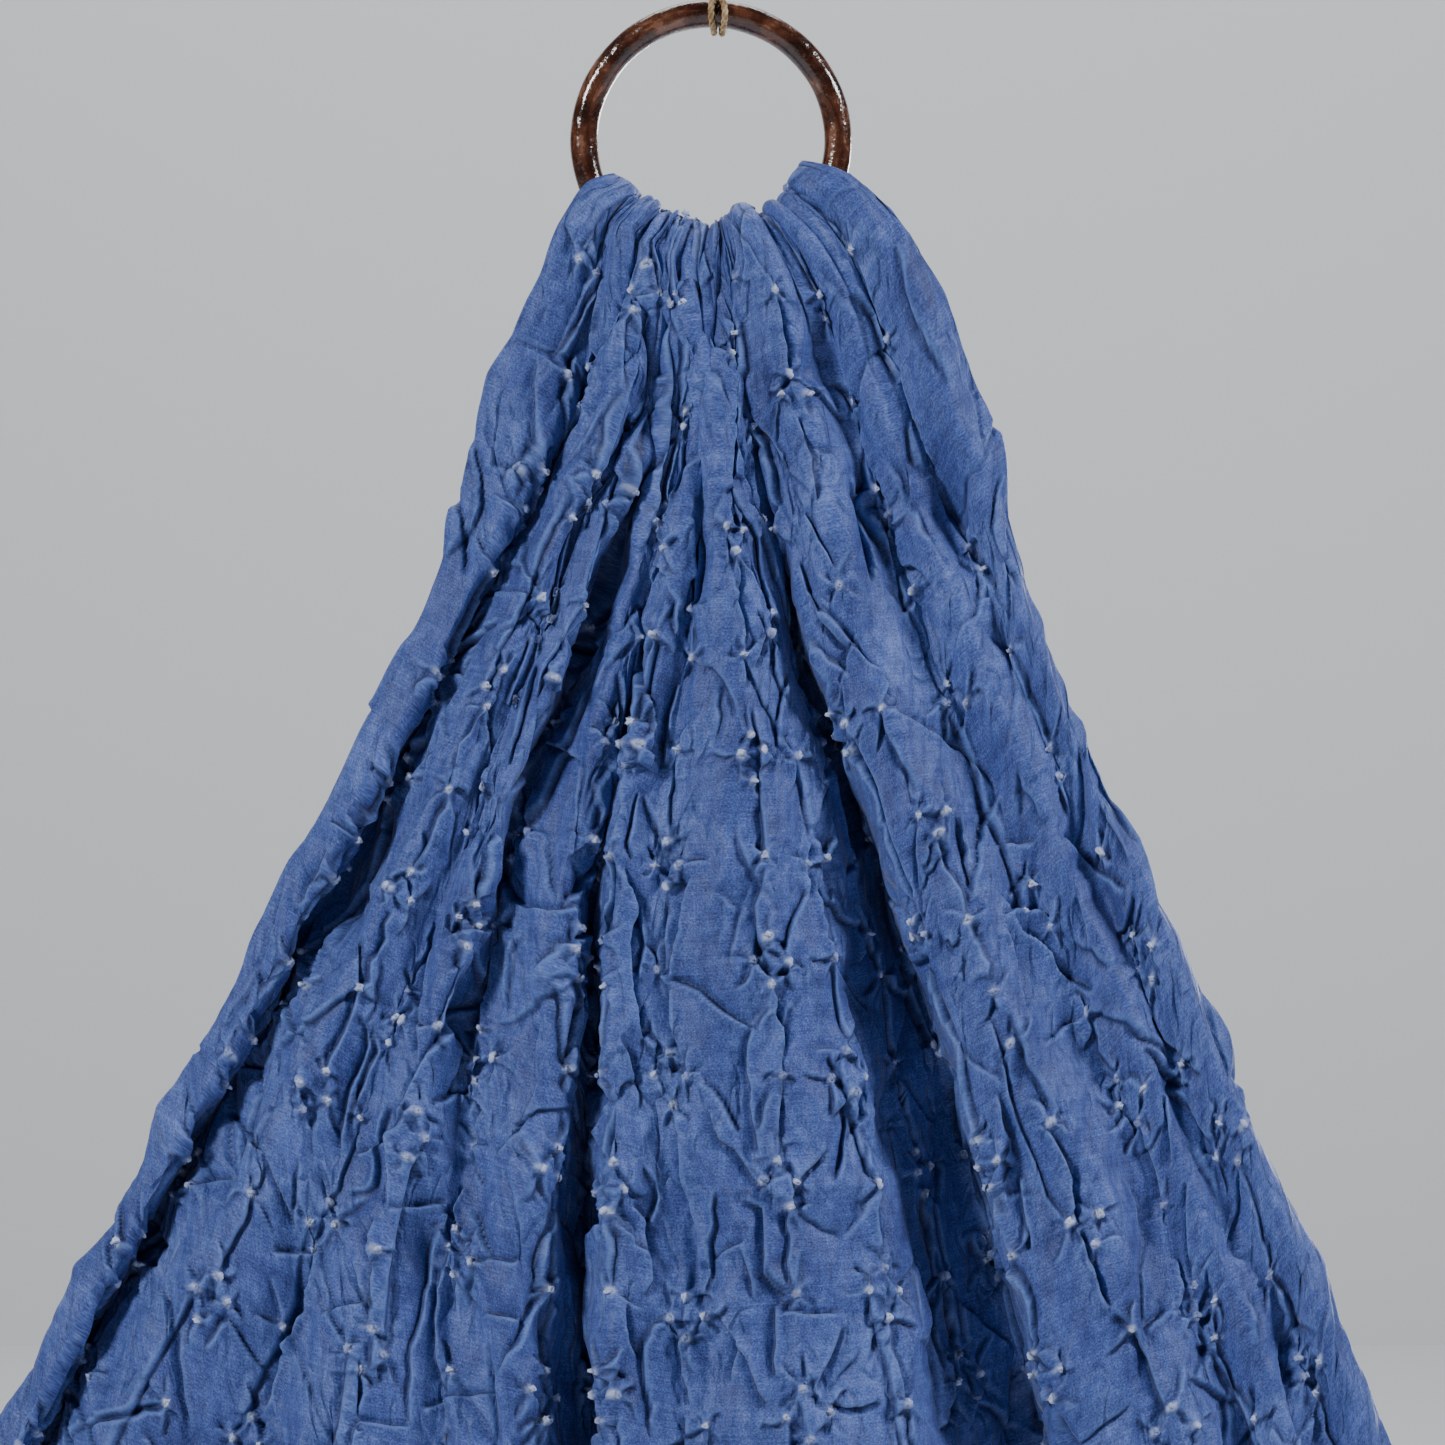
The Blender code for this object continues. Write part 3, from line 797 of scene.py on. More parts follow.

# %% [markdown]
# ## The main creases
# Cloth that was tied and dried stays creased from tie to tie. Each crease is a tiny pleat: a lip
# of cloth that leans over a sharp valley. Noise would crumple the cloth evenly, and this one
# isn't even, so the main creases are listed one by one, on the flat cloth, as the silk shows them:
# how strong each one is, and then its places as u and v in mm.

# %% The main creases
MAIN_CREASES = (
    (1.3, (58, 14), (46, 31), (33, 52), (27, 62)),
    (1.4, (524, 3), (500, 13), (484, 26)),
    (1.2, (508, 2), (488, 12), (470, 22)),
    (1.3, (523, 12), (526, 26), (530, 44)),
    (1.5, (447, 52), (452, 66), (449, 84)),
    (1.3, (470, 30), (465, 48), (468, 70)),
    (1.2, (560, 40), (566, 52), (563, 70)),
    (1.3, (22, 66), (28, 84), (24, 104)),
    (1.2, (12, 96), (20, 112), (15, 132)),
    (1.2, (500, 54), (520, 60), (536, 70)),
    (1.1, (590, 40), (585, 62), (588, 84)),
    (1.2, (596, 118), (588, 130), (592, 150)),
    (1.2, (311, 85), (309, 97), (305, 108), (302, 120)),
    (1.0, (316, 106), (313, 114), (310, 127)),
    (1.3, (328, 82), (335, 92), (345, 96), (356, 96)),
    (1.5, (352, 82), (360, 90), (376, 97), (381, 110), (386, 124)),
    (1.2, (386, 124), (380, 131), (379, 138), (388, 146)),
    (1.0, (373, 127), (366, 133), (361, 137)),
    (1.2, (391, 140), (380, 149), (372, 161)),
    (1.5, (311, 141), (311, 150), (313, 165)),
    (1.7, (487, 110), (488, 117), (501, 131), (512, 141), (521, 148)),
    (1.3, (490, 120), (495, 130), (505, 140)),
    (1.2, (502, 97), (508, 106), (513, 116)),
    (1.2, (531, 89), (535, 98), (538, 116)),
    (1.0, (540, 119), (538, 130)),
    (1.8, (545, 90), (549, 106), (545, 114), (552, 125), (552, 143)),
    (1.9, (567, 98), (570, 108), (573, 120), (577, 132), (580, 142)),
    (1.1, (67, 112), (78, 120), (100, 128)),
    (1.1, (103, 103), (108, 112), (118, 128)),
    (1.2, (60, 132), (78, 130), (97, 128)),
    (1.4, (80, 139), (69, 144), (60, 151), (50, 164)),
    (1.2, (107, 139), (108, 146), (112, 160)),
    (1.5, (143, 147), (145, 157), (150, 168), (152, 178)),
    (1.6, (181, 162), (192, 166), (206, 170)),
    (1.2, (218, 142), (232, 152), (240, 166), (243, 172)),
    (1.1, (228, 131), (245, 148), (256, 160), (262, 172)),
    (1.7, (262, 131), (275, 140), (300, 152), (304, 168)),
    (1.6, (213, 91), (240, 101), (288, 111), (297, 121), (300, 128)),
    (1.4, (300, 93), (303, 103), (307, 113), (312, 124)),
    (1.6, (357, 150), (357, 175), (355, 196)),
    (1.6, (354, 198), (349, 210), (350, 220), (353, 227)),
    (1.2, (361, 221), (367, 211), (377, 204)),
    (1.8, (322, 229), (330, 233), (337, 240), (345, 244)),
    (1.7, (345, 244), (342, 256), (344, 268), (345, 280)),
    (1.1, (352, 238), (347, 244)),
    (1.7, (328, 199), (326, 208), (323, 219), (321, 228)),
    (1.2, (321, 209), (320, 218), (320, 226)),
    (1.4, (321, 232), (321, 240), (324, 252)),
    (1.5, (306, 176), (312, 181), (319, 190), (320, 195)),
    (1.4, (302, 176), (303, 183), (301, 190), (305, 195)),
    (1.7, (300, 199), (306, 210), (303, 222), (303, 231), (309, 247)),
    (1.3, (309, 247), (315, 252), (321, 256)),
    (1.2, (303, 204), (307, 214)),
    (1.3, (309, 209), (311, 217), (307, 229)),
    (1.2, (297, 250), (302, 253), (306, 260), (307, 268)),
    (1.6, (329, 259), (334, 265), (338, 274)),
    (1.5, (323, 265), (322, 277), (323, 292)),
    (1.3, (350, 263), (346, 274)),
    (1.2, (386, 226), (387, 240), (388, 250)),
    (1.1, (396, 235), (393, 250)),
    (1.6, (376, 253), (381, 260), (381, 270), (377, 280), (371, 290)),
    (1.7, (527, 196), (525, 206), (522, 218)),
    (1.2, (536, 206), (543, 207), (550, 210)),
    (1.1, (545, 213), (540, 217), (533, 222)),
    (1.4, (530, 222), (534, 226), (543, 229)),
    (1.8, (531, 229), (538, 239), (540, 246), (549, 257)),
    (1.1, (527, 232), (528, 243), (524, 256)),
    (1.4, (517, 259), (516, 270), (517, 279), (518, 287)),
    (1.0, (526, 267), (534, 264), (547, 260)),
    (1.3, (545, 264), (543, 272), (547, 284), (540, 295), (533, 297)),
    (1.8, (564, 214), (569, 222), (576, 231), (582, 240)),
    (1.3, (585, 216), (586, 225), (587, 236)),
    (1.6, (570, 246), (577, 247), (584, 244)),
    (1.9, (579, 253), (576, 262), (573, 280), (577, 288), (582, 299)),
    (1.6, (560, 281), (565, 286), (571, 293), (577, 297)),
    (1.8, (568, 296), (571, 303), (576, 315)),
    (1.2, (556, 232), (555, 238), (553, 246)),
    (1.1, (549, 241), (554, 248), (558, 255)),
    (1.5, (195, 181), (195, 188), (198, 197)),
    (1.9, (180, 201), (186, 208), (195, 214), (200, 217)),
    (1.5, (200, 217), (212, 216), (224, 212)),
    (1.5, (250, 191), (240, 199), (228, 206), (216, 213)),
    (1.2, (197, 218), (190, 228), (184, 240), (187, 246)),
    (1.9, (141, 225), (148, 230), (160, 229), (175, 226)),
    (1.3, (166, 234), (176, 237), (184, 241), (189, 247)),
    (1.6, (240, 218), (225, 222), (212, 226)),
    (1.2, (215, 226), (210, 233), (206, 244)),
    (1.3, (199, 226), (198, 234), (198, 246)),
    (1.5, (214, 237), (220, 244), (223, 253), (228, 262)),
    (1.7, (189, 247), (168, 258), (160, 265), (155, 272), (152, 282)),
    (1.6, (66, 236), (73, 253), (79, 266), (85, 278), (93, 293)),
    (1.6, (105, 262), (116, 267), (116, 279), (118, 290), (123, 300)),
    (1.3, (110, 262), (121, 268), (121, 281), (124, 292)),
    (1.2, (186, 273), (196, 281), (199, 290)),
    (1.1, (213, 266), (209, 273), (206, 280), (216, 274), (228, 271)),
    (1.4, (133, 300), (146, 294), (154, 288), (157, 282)),
    (1.4, (193, 279), (193, 287), (195, 298)),
    (1.1, (210, 277), (207, 283), (203, 289)),
    (1.9, (191, 302), (188, 313), (187, 322), (184, 333), (186, 352), (192, 362)),
    (1.2, (196, 308), (199, 315), (203, 320)),
    (1.5, (226, 302), (224, 311), (224, 325)),
    (1.7, (227, 324), (220, 337), (212, 345), (208, 358)),
    (1.5, (202, 336), (217, 335)),
    (1.5, (184, 368), (194, 363), (206, 358)),
    (1.2, (229, 357), (225, 365), (222, 374)),
    (1.6, (303, 297), (308, 300), (307, 308), (308, 316), (305, 323)),
    (1.5, (308, 285), (313, 291), (309, 301)),
    (1.9, (320, 268), (321, 278), (321, 288), (324, 303), (323, 312)),
    (1.5, (331, 291), (329, 302), (327, 313), (325, 320)),
    (1.6, (331, 268), (334, 277), (339, 281), (345, 290)),
    (1.9, (340, 294), (346, 297), (345, 314), (348, 319), (352, 322)),
    (1.2, (339, 306), (333, 308), (329, 311)),
    (1.2, (338, 308), (340, 316), (341, 322)),
    (1.9, (329, 325), (335, 335), (341, 347), (344, 353)),
    (1.2, (334, 335), (332, 346)),
    (1.6, (348, 325), (347, 336), (347, 345)),
    (1.4, (351, 326), (358, 328), (367, 328)),
    (1.5, (299, 327), (299, 335), (303, 341)),
    (1.6, (315, 331), (316, 341), (318, 353)),
    (1.3, (307, 329), (305, 340), (306, 352), (307, 363)),
    (1.6, (316, 356), (315, 368), (317, 380)),
    (1.2, (357, 290), (369, 280)),
    (1.3, (417, 297), (417, 307), (415, 322)),
    (1.3, (413, 326), (409, 337), (408, 348)),
    (1.2, (495, 302), (492, 313), (490, 323)),
    (1.9, (511, 291), (515, 301), (513, 312), (510, 322)),
    (1.9, (510, 324), (508, 335), (509, 348)),
    (1.9, (510, 350), (515, 357), (515, 367), (513, 383)),
    (1.5, (530, 352), (520, 357)),
    (1.5, (541, 338), (537, 348), (530, 356)),
    (1.4, (563, 296), (557, 305), (553, 314)),
    (1.3, (556, 322), (549, 335), (545, 346)),
    (1.3, (368, 332), (364, 341), (359, 349)),
    (1.6, (362, 353), (368, 355), (377, 354)),
    (1.3, (525, 373), (535, 378), (543, 383)),
    (1.6, (92, 311), (103, 317), (116, 325)),
    (1.2, (107, 308), (114, 322), (117, 327)),
    (1.4, (67, 304), (78, 307), (92, 311)),
    (1.9, (151, 282), (152, 297), (157, 312)),
    (1.4, (144, 284), (143, 295), (147, 308), (137, 311)),
    (1.5, (158, 313), (169, 311), (183, 308)),
    (1.5, (153, 317), (155, 327), (159, 337), (162, 343)),
    (1.3, (180, 314), (180, 326), (179, 341), (177, 353), (180, 373)),
    (1.9, (129, 330), (131, 341), (132, 350), (130, 362), (131, 378)),
    (1.8, (142, 347), (149, 344), (158, 341)),
    (1.2, (148, 330), (158, 341)),
    (1.3, (113, 335), (123, 332), (131, 331)),
    (1.2, (76, 359), (85, 365), (88, 369)),
    (1.3, (104, 369), (108, 359), (116, 364), (126, 368)),
    (1.5, (160, 357), (162, 365), (164, 375), (180, 374)),
    (1.2, (80, 404), (90, 397), (101, 389)),
)
print(len(MAIN_CREASES), "main creases")

# %% [markdown]
# ## Facets
# Silk that dried crumpled stands in flat facets with an edge between each two. The facets are the
# triangles between the ties and some corners strewn about, longer along the cloth than across
# it, because it was squeezed across. Blender's own triangulation joins the corners. Where two
# facets lean towards each other, the edge between them is one more crease.

# %% The facets
CORNER_SPACING = np.array([13.0, 21.0])
CORNER_JITTER = 0.48
STREWN_PAST = (20.0, 30.0)
PAST_THE_EDGES = 15.0
CLEAR_OF_TIES = 5.5
TIE_HEIGHTS = (0.4, 2.4)
CORNER_HEIGHT = 2.2
Facets = namedtuple("Facets", "corners heights triangles")


def make_facets(seed=19):
    """The corners of the facets, how high each stands in mm, and which three belong together."""
    rng = np.random.default_rng(seed)
    past_u, past_v = STREWN_PAST
    across = np.arange(-past_u, WIDTH_MM + past_u, CORNER_SPACING[0])
    along = np.arange(-BACK_MM - past_v, FRONT_MM + past_v, CORNER_SPACING[1])
    strewn = np.stack(np.meshgrid(across, along, indexing="ij"), axis=-1).reshape(-1, 2)
    strewn += rng.uniform(-CORNER_JITTER, CORNER_JITTER, strewn.shape) * CORNER_SPACING
    left, right = (np.interp(strewn[:, 1], COARSE_V, edge) for edge in (HUNG_U[0], HUNG_U[-1]))
    near = (strewn[:, 0] > left - PAST_THE_EDGES) & (strewn[:, 0] < right + PAST_THE_EDGES)
    strewn = strewn[near]
    to_tie = np.linalg.norm(strewn[:, None] - hung_ties[None], axis=2).min(axis=1)
    strewn = strewn[to_tie > CLEAR_OF_TIES]
    corners = np.vstack([hung_ties, strewn])
    tie_heights = rng.uniform(*TIE_HEIGHTS, len(ties))
    heights = np.concatenate([tie_heights, rng.normal(size=len(strewn)) * CORNER_HEIGHT])
    squeezed = [Vector((u, v * CORNER_SPACING[0] / CORNER_SPACING[1])) for u, v in corners]
    _, _, triangles, originals, _, _ = delaunay_2d_cdt(squeezed, [], [], 0, 1e-6)
    numbers = [[originals[corner][0] for corner in triangle] for triangle in triangles]
    return Facets(corners, heights, np.array(numbers))


facets = make_facets()
print(len(facets.triangles), "facets")

# %% [markdown]
# ## The lesser creases
# Between the main creases the cloth is full of lesser ones: where two facets lean together, from
# tie to tie down the columns, in a small star round each tie, and short ones anywhere. There
# are far too many to place by hand, so they are drawn at random, always the same ones, and those
# that would run along a main crease are left out.

# %% One crease
REACH = 12.0
LOPSIDED = 0.6
BOW_SHARES = (0.2, 1.0)
STRENGTH_SHARES = (0.65, 1.3)
Crease = namedtuple("Crease", "line strength lip taper reach")


def bowed_line(start, end, bow, kink, rng, steps=7):
    """A line from one place to another that bows to a side, with small kinks."""
    t = np.linspace(0.0, 1.0, steps)[:, None]
    way = end - start
    side = np.array([-way[1], way[0]])
    swing = 4 * t * (1 - t) * (1 + LOPSIDED * (t - 0.5) * rng.uniform(-1, 1))
    line = start + t * way + swing * bow * side
    line[1:-1] += rng.normal(size=(steps - 2, 2)) * kink
    return line


def crease_between(start, end, strength, rng, bow=0.06, kink=0.6, taper=0.35):
    """A crease between two places, bowed either way and with its lip on either side."""
    bow = bow * rng.uniform(*BOW_SHARES) * rng.choice([-1, 1])
    strength = strength * rng.uniform(*STRENGTH_SHARES)
    line = bowed_line(start, end, bow, kink, rng)
    return Crease(line, strength, rng.choice([-1, 1]), taper, REACH)


print("a crease reaches", REACH, "mm to each side")

# %% The main creases as lines
MAIN_STEP = 4
MAIN_KINK = 0.35
LIPS_TO_THE_RIGHT = 0.7
MAIN_TAPER = 0.3


def main_creases(seed=17):
    """The main creases as smooth lines with small kinks, most with their lips on the right."""
    rng = np.random.default_rng(seed)
    found = []
    for strength, *places in MAIN_CREASES:
        places = hung(places)
        line = evenly(places, max(4, round(distances_along(places)[-1] / MAIN_STEP)))
        line[1:-1] += rng.normal(size=(len(line) - 2, 2)) * MAIN_KINK
        lip = 1 if rng.random() < LIPS_TO_THE_RIGHT else -1
        lip = lip if line[-1][1] > line[0][1] else -lip
        found.append(Crease(line, strength, lip, MAIN_TAPER, REACH))
    return found


mains = main_creases()
print(len(mains), "main creases as they hang")

# %% Creases between facets and down the columns
LEAST_FOLD = 0.45
LEAST_EDGE = 5.0
WEAKEST = 0.3
STRONGER_BY_FOLD = 0.8
MOST_STRENGTH = 1.35
# Down the columns: what share of the ties have a crease to the next tie, to the one past it and
# to the next column, and how strong each of those is.
NEXT_SHARE, NEXT_STRENGTH = 0.75, 1.4
SECOND_SHARE, SECOND_STRENGTH = 0.5, 1.3
BESIDE_SHARE, BESIDE_STRENGTH = 0.45, 1.0
BESIDE_LENGTHS = (0.45, 1.0)


def facet_creases(facets, seed=29):
    """A crease on each edge where two facets lean together into a clear valley."""
    rng = np.random.default_rng(seed)
    beside = {}
    for triangle in facets.triangles:
        for first, second, third in (triangle, np.roll(triangle, 1), np.roll(triangle, 2)):
            beside.setdefault((min(first, second), max(first, second)), []).append(third)
    found = []
    for (first, second), others in beside.items():
        if len(others) < 2:
            continue
        start, end = facets.corners[first], facets.corners[second]
        way = end - start
        length = np.linalg.norm(way)
        fold = 0.0
        for other in others:
            out = facets.corners[other] - start
            share = np.dot(out, way) / length**2
            level = facets.heights[first] + share * (facets.heights[second] - facets.heights[first])
            twice_area = abs(way[0] * out[1] - way[1] * out[0])
            fold += (facets.heights[other] - level) * length / twice_area
        if fold > LEAST_FOLD and length > LEAST_EDGE:
            strength = min(MOST_STRENGTH, WEAKEST + STRONGER_BY_FOLD * fold)
            found.append(crease_between(start, end, strength, rng, bow=0.05, kink=0.4, taper=0.5))
    return found


def column_creases(sites, seed=23):
    """Creases down the columns from tie to tie, with a few across to the next column."""
    rng = np.random.default_rng(seed)
    found = []
    for (column, row), site in sites.items():
        last = site.ties[-1]
        below = sites.get((column, row + 1))
        if below and rng.random() < NEXT_SHARE:
            found.append(crease_between(hung(last), hung(below.ties[0]), NEXT_STRENGTH, rng))
        beyond = sites.get((column, row + 2))
        if beyond and len(site.ties) == len(DIAMOND) and rng.random() < SECOND_SHARE:
            side = rng.integers(1, 3)
            start, end = hung(site.ties[side]), hung(beyond.ties[side])
            found.append(crease_between(start, end, SECOND_STRENGTH, rng))
        beside = sites.get((column + rng.choice([-1, 1]), row + 1))
        if beside and rng.random() < BESIDE_SHARE:
            end = last + rng.uniform(*BESIDE_LENGTHS) * (beside.ties[0] - last)
            found.append(crease_between(hung(last), hung(end), BESIDE_STRENGTH, rng, bow=0.1))
    return found


from_facets = facet_creases(facets)
from_columns = column_creases(sites)
print(len(from_facets), "creases between facets,", len(from_columns), "down the columns")

# %% Loose creases and stars
LOOSE_TRIES = 650
LOOSE_LENGTHS = (8, 28)
LOOSE_STRENGTHS = (0.35, 0.9)
# Most loose creases slant only a little off the way along the cloth, the others much more.
LITTLE_SLANT_SHARE = 0.85
LITTLE_SLANT = 0.35
MUCH_SLANT = (0.8, 2.2)
# The arms of a star: three to five, turned a little off their even places. They start and end
# that far from the tie, in mm, and are longer along the cloth than across it.
STAR_ARMS = (3, 6)
ARM_OFF = 0.3
ARM_STARTS = 0.9
ARM_ENDS = (3.5, 10.0)
ARM_STRENGTHS = (0.6, 1.2)
ARM_BOW = 0.2
ARM_REACH = 5.0
ALONG_STRETCH = 1.3


def loose_creases(count, seed=37):
    """Short creases that start anywhere and mostly run along the cloth."""
    rng = np.random.default_rng(seed)
    found = []
    for _ in range(count):
        start = rng.uniform((2, 4 - BACK_MM), (WIDTH_MM - 2, FRONT_MM - 4))
        if rng.random() > gather_at(start[1]):
            continue
        start = hung(start)
        little = rng.random() < LITTLE_SLANT_SHARE
        slant = rng.normal() * LITTLE_SLANT if little else rng.uniform(*MUCH_SLANT)
        end = start + rng.uniform(*LOOSE_LENGTHS) * np.array([math.sin(slant), math.cos(slant)])
        strength = rng.uniform(*LOOSE_STRENGTHS)
        found.append(crease_between(start, end, strength, rng, bow=0.08, taper=0.8))
    return found


def star_creases(ties, seed=53):
    """Three to five tiny creases that run out from each tie."""
    rng = np.random.default_rng(seed)
    found = []
    for tie in ties:
        turn = rng.uniform(0, math.tau)
        arms = rng.integers(*STAR_ARMS)
        for arm in range(arms):
            angle = turn + math.tau * (arm + rng.uniform(-ARM_OFF, ARM_OFF)) / arms
            way = np.array([math.cos(angle), ALONG_STRETCH * math.sin(angle)])
            start, end = tie + ARM_STARTS * way, tie + rng.uniform(*ARM_ENDS) * way
            line = bowed_line(start, end, rng.uniform(-ARM_BOW, ARM_BOW), 0.2, rng, steps=4)
            strength, lip = rng.uniform(*ARM_STRENGTHS), rng.choice([-1, 1])
            found.append(Crease(line, strength, lip, 0.6, ARM_REACH))
    return found


loose = loose_creases(LOOSE_TRIES)
stars = star_creases(hung_ties)
print(len(loose), "loose creases and", len(stars), "arms of stars")

# %% All creases together
MAIN_GAP = 5.0


def away_from(others, mains):
    """The creases that don't run along a main one."""
    spots = np.vstack([crease.line for crease in mains])
    kept = []
    for crease in others:
        three = crease.line[[0, len(crease.line) // 2, -1]]
        gaps = np.linalg.norm(three[:, None] - spots[None], axis=2).min(axis=1)
        if gaps.mean() > MAIN_GAP:
            kept.append(crease)
    return kept


creases = mains + away_from(from_facets + from_columns + loose, mains) + stars
print(len(creases), "creases in all")

# %% [markdown]
# ## From creases to a surface
# The height of the crinkled cloth over its main folds is added up from a few plain shapes: its
# facets first. Near a crease the cloth climbs to its lip and drops into its valley, and both sides
# are drawn together, so that the lip hangs over. Round each tie it is drawn into a star of tiny
# pleats with the tie on its tip. Slow waves and patches of soft ripples run under all of that. A
# Displace modifier could only push the cloth outwards. Worked out here, it also moves sideways,
# and each point knows how deep it is in a valley and how undyed it is, which its colour needs:
# shade is painted along the valleys and a highlight along the lips.

# %% Waves and lines
def soft_step(x):
    """A smooth step from 0 to 1."""
    return 0.5 + 0.5 * np.tanh(x)


def waves(u, v, count, across, along, seed):
    """A sum of slanted cosine waves between -1 and 1, with their lengths in the ranges given."""
    rng = np.random.default_rng(seed)
    total = 0.0
    for _ in range(count):
        length_u = rng.uniform(*across) * rng.choice([-1, 1])
        length_v = rng.uniform(*along)
        total = total + np.cos(math.tau * (u / length_u + v / length_v) + rng.uniform(0, math.tau))
    return total / count**0.5 / 1.4


def near_line(u, v, line):
    """Signed distance to a line, the share of the way along it, and the way across it there."""
    starts, ways = line[:-1], np.diff(line, axis=0)
    squares = (ways**2).sum(axis=1)
    du = u[None] - starts[:, 0, None, None]
    dv = v[None] - starts[:, 1, None, None]
    share = (du * ways[:, 0, None, None] + dv * ways[:, 1, None, None]) / squares[:, None, None]
    share = np.clip(share, 0.0, 1.0)
    du = du - share * ways[:, 0, None, None]
    dv = dv - share * ways[:, 1, None, None]
    distance = np.hypot(du, dv)
    best = distance.argmin(axis=0)[None]
    du, dv, share = (np.take_along_axis(a, best, 0)[0] for a in (du, dv, share))
    way = ways[best[0]]
    side = np.sign(way[..., 0] * dv - way[..., 1] * du)
    unit = np.stack([-way[..., 1], way[..., 0]], axis=-1) / np.sqrt(squares)[best[0]][..., None]
    return side * np.hypot(du, dv), (best[0] + share) / len(ways), unit


print("waves and lines ready")

# %% The crinkles' shapes
# Across a crease, in mm: where its lip, valley, slope, painted shade line and painted highlight
# line lie (below zero is the lip's side), how wide each is, and for a strength of 1 how high it
# stands.
CreaseShape = namedtuple("CreaseShape", "at width height")
LIP = CreaseShape(-1.1, 0.95, 0.55)
VALLEY = CreaseShape(0.8, 0.8, -0.7)
SLOPE = CreaseShape(0.0, 7.0, 0.65)
PAINTED_SHADE_LINE = CreaseShape(0.6, 0.65, 1.0)
PAINTED_HIGHLIGHT_LINE = CreaseShape(-0.7, 0.6, 1.0)
DRAWN_TOGETHER = 0.75
VALLEY_DRAWN = 0.6
HELD_BACK_ON_A_SLANT = 0.5
WINDOW_MARGIN = 1.5
SLOPE_SHARPNESS = 0.8
OPEN_ENDS = 2.5
PUFF_HEIGHT = 0.3
PUFF_WIDTH = 1.3
PUFF_RISE = 0.06
# Round a tie, in mm: how far it reaches, its tiny pleats, its tip and the undyed spot on it.
TIE_REACH = 9.0
TIE_SIZES = (0.8, 1.2)
TIE_PLEATS = (5, 8)
TIE_PLEAT_HEIGHT = 0.44
TIE_PLEAT_RADIUS = 2.6
TIE_TIP_HEIGHT = 1.6
TIE_TIP_RADIUS = 1.9
UNDYED_SHARES = (0.3, 0.8)
UNDYED_RADIUS = 1.25
INSIDE_SLACK = 1e-9


def bell(s, shape):
    """A bell across a crease: 1 at its middle, falling off over its width."""
    return np.exp(-(((s - shape.at) / shape.width) ** 2))


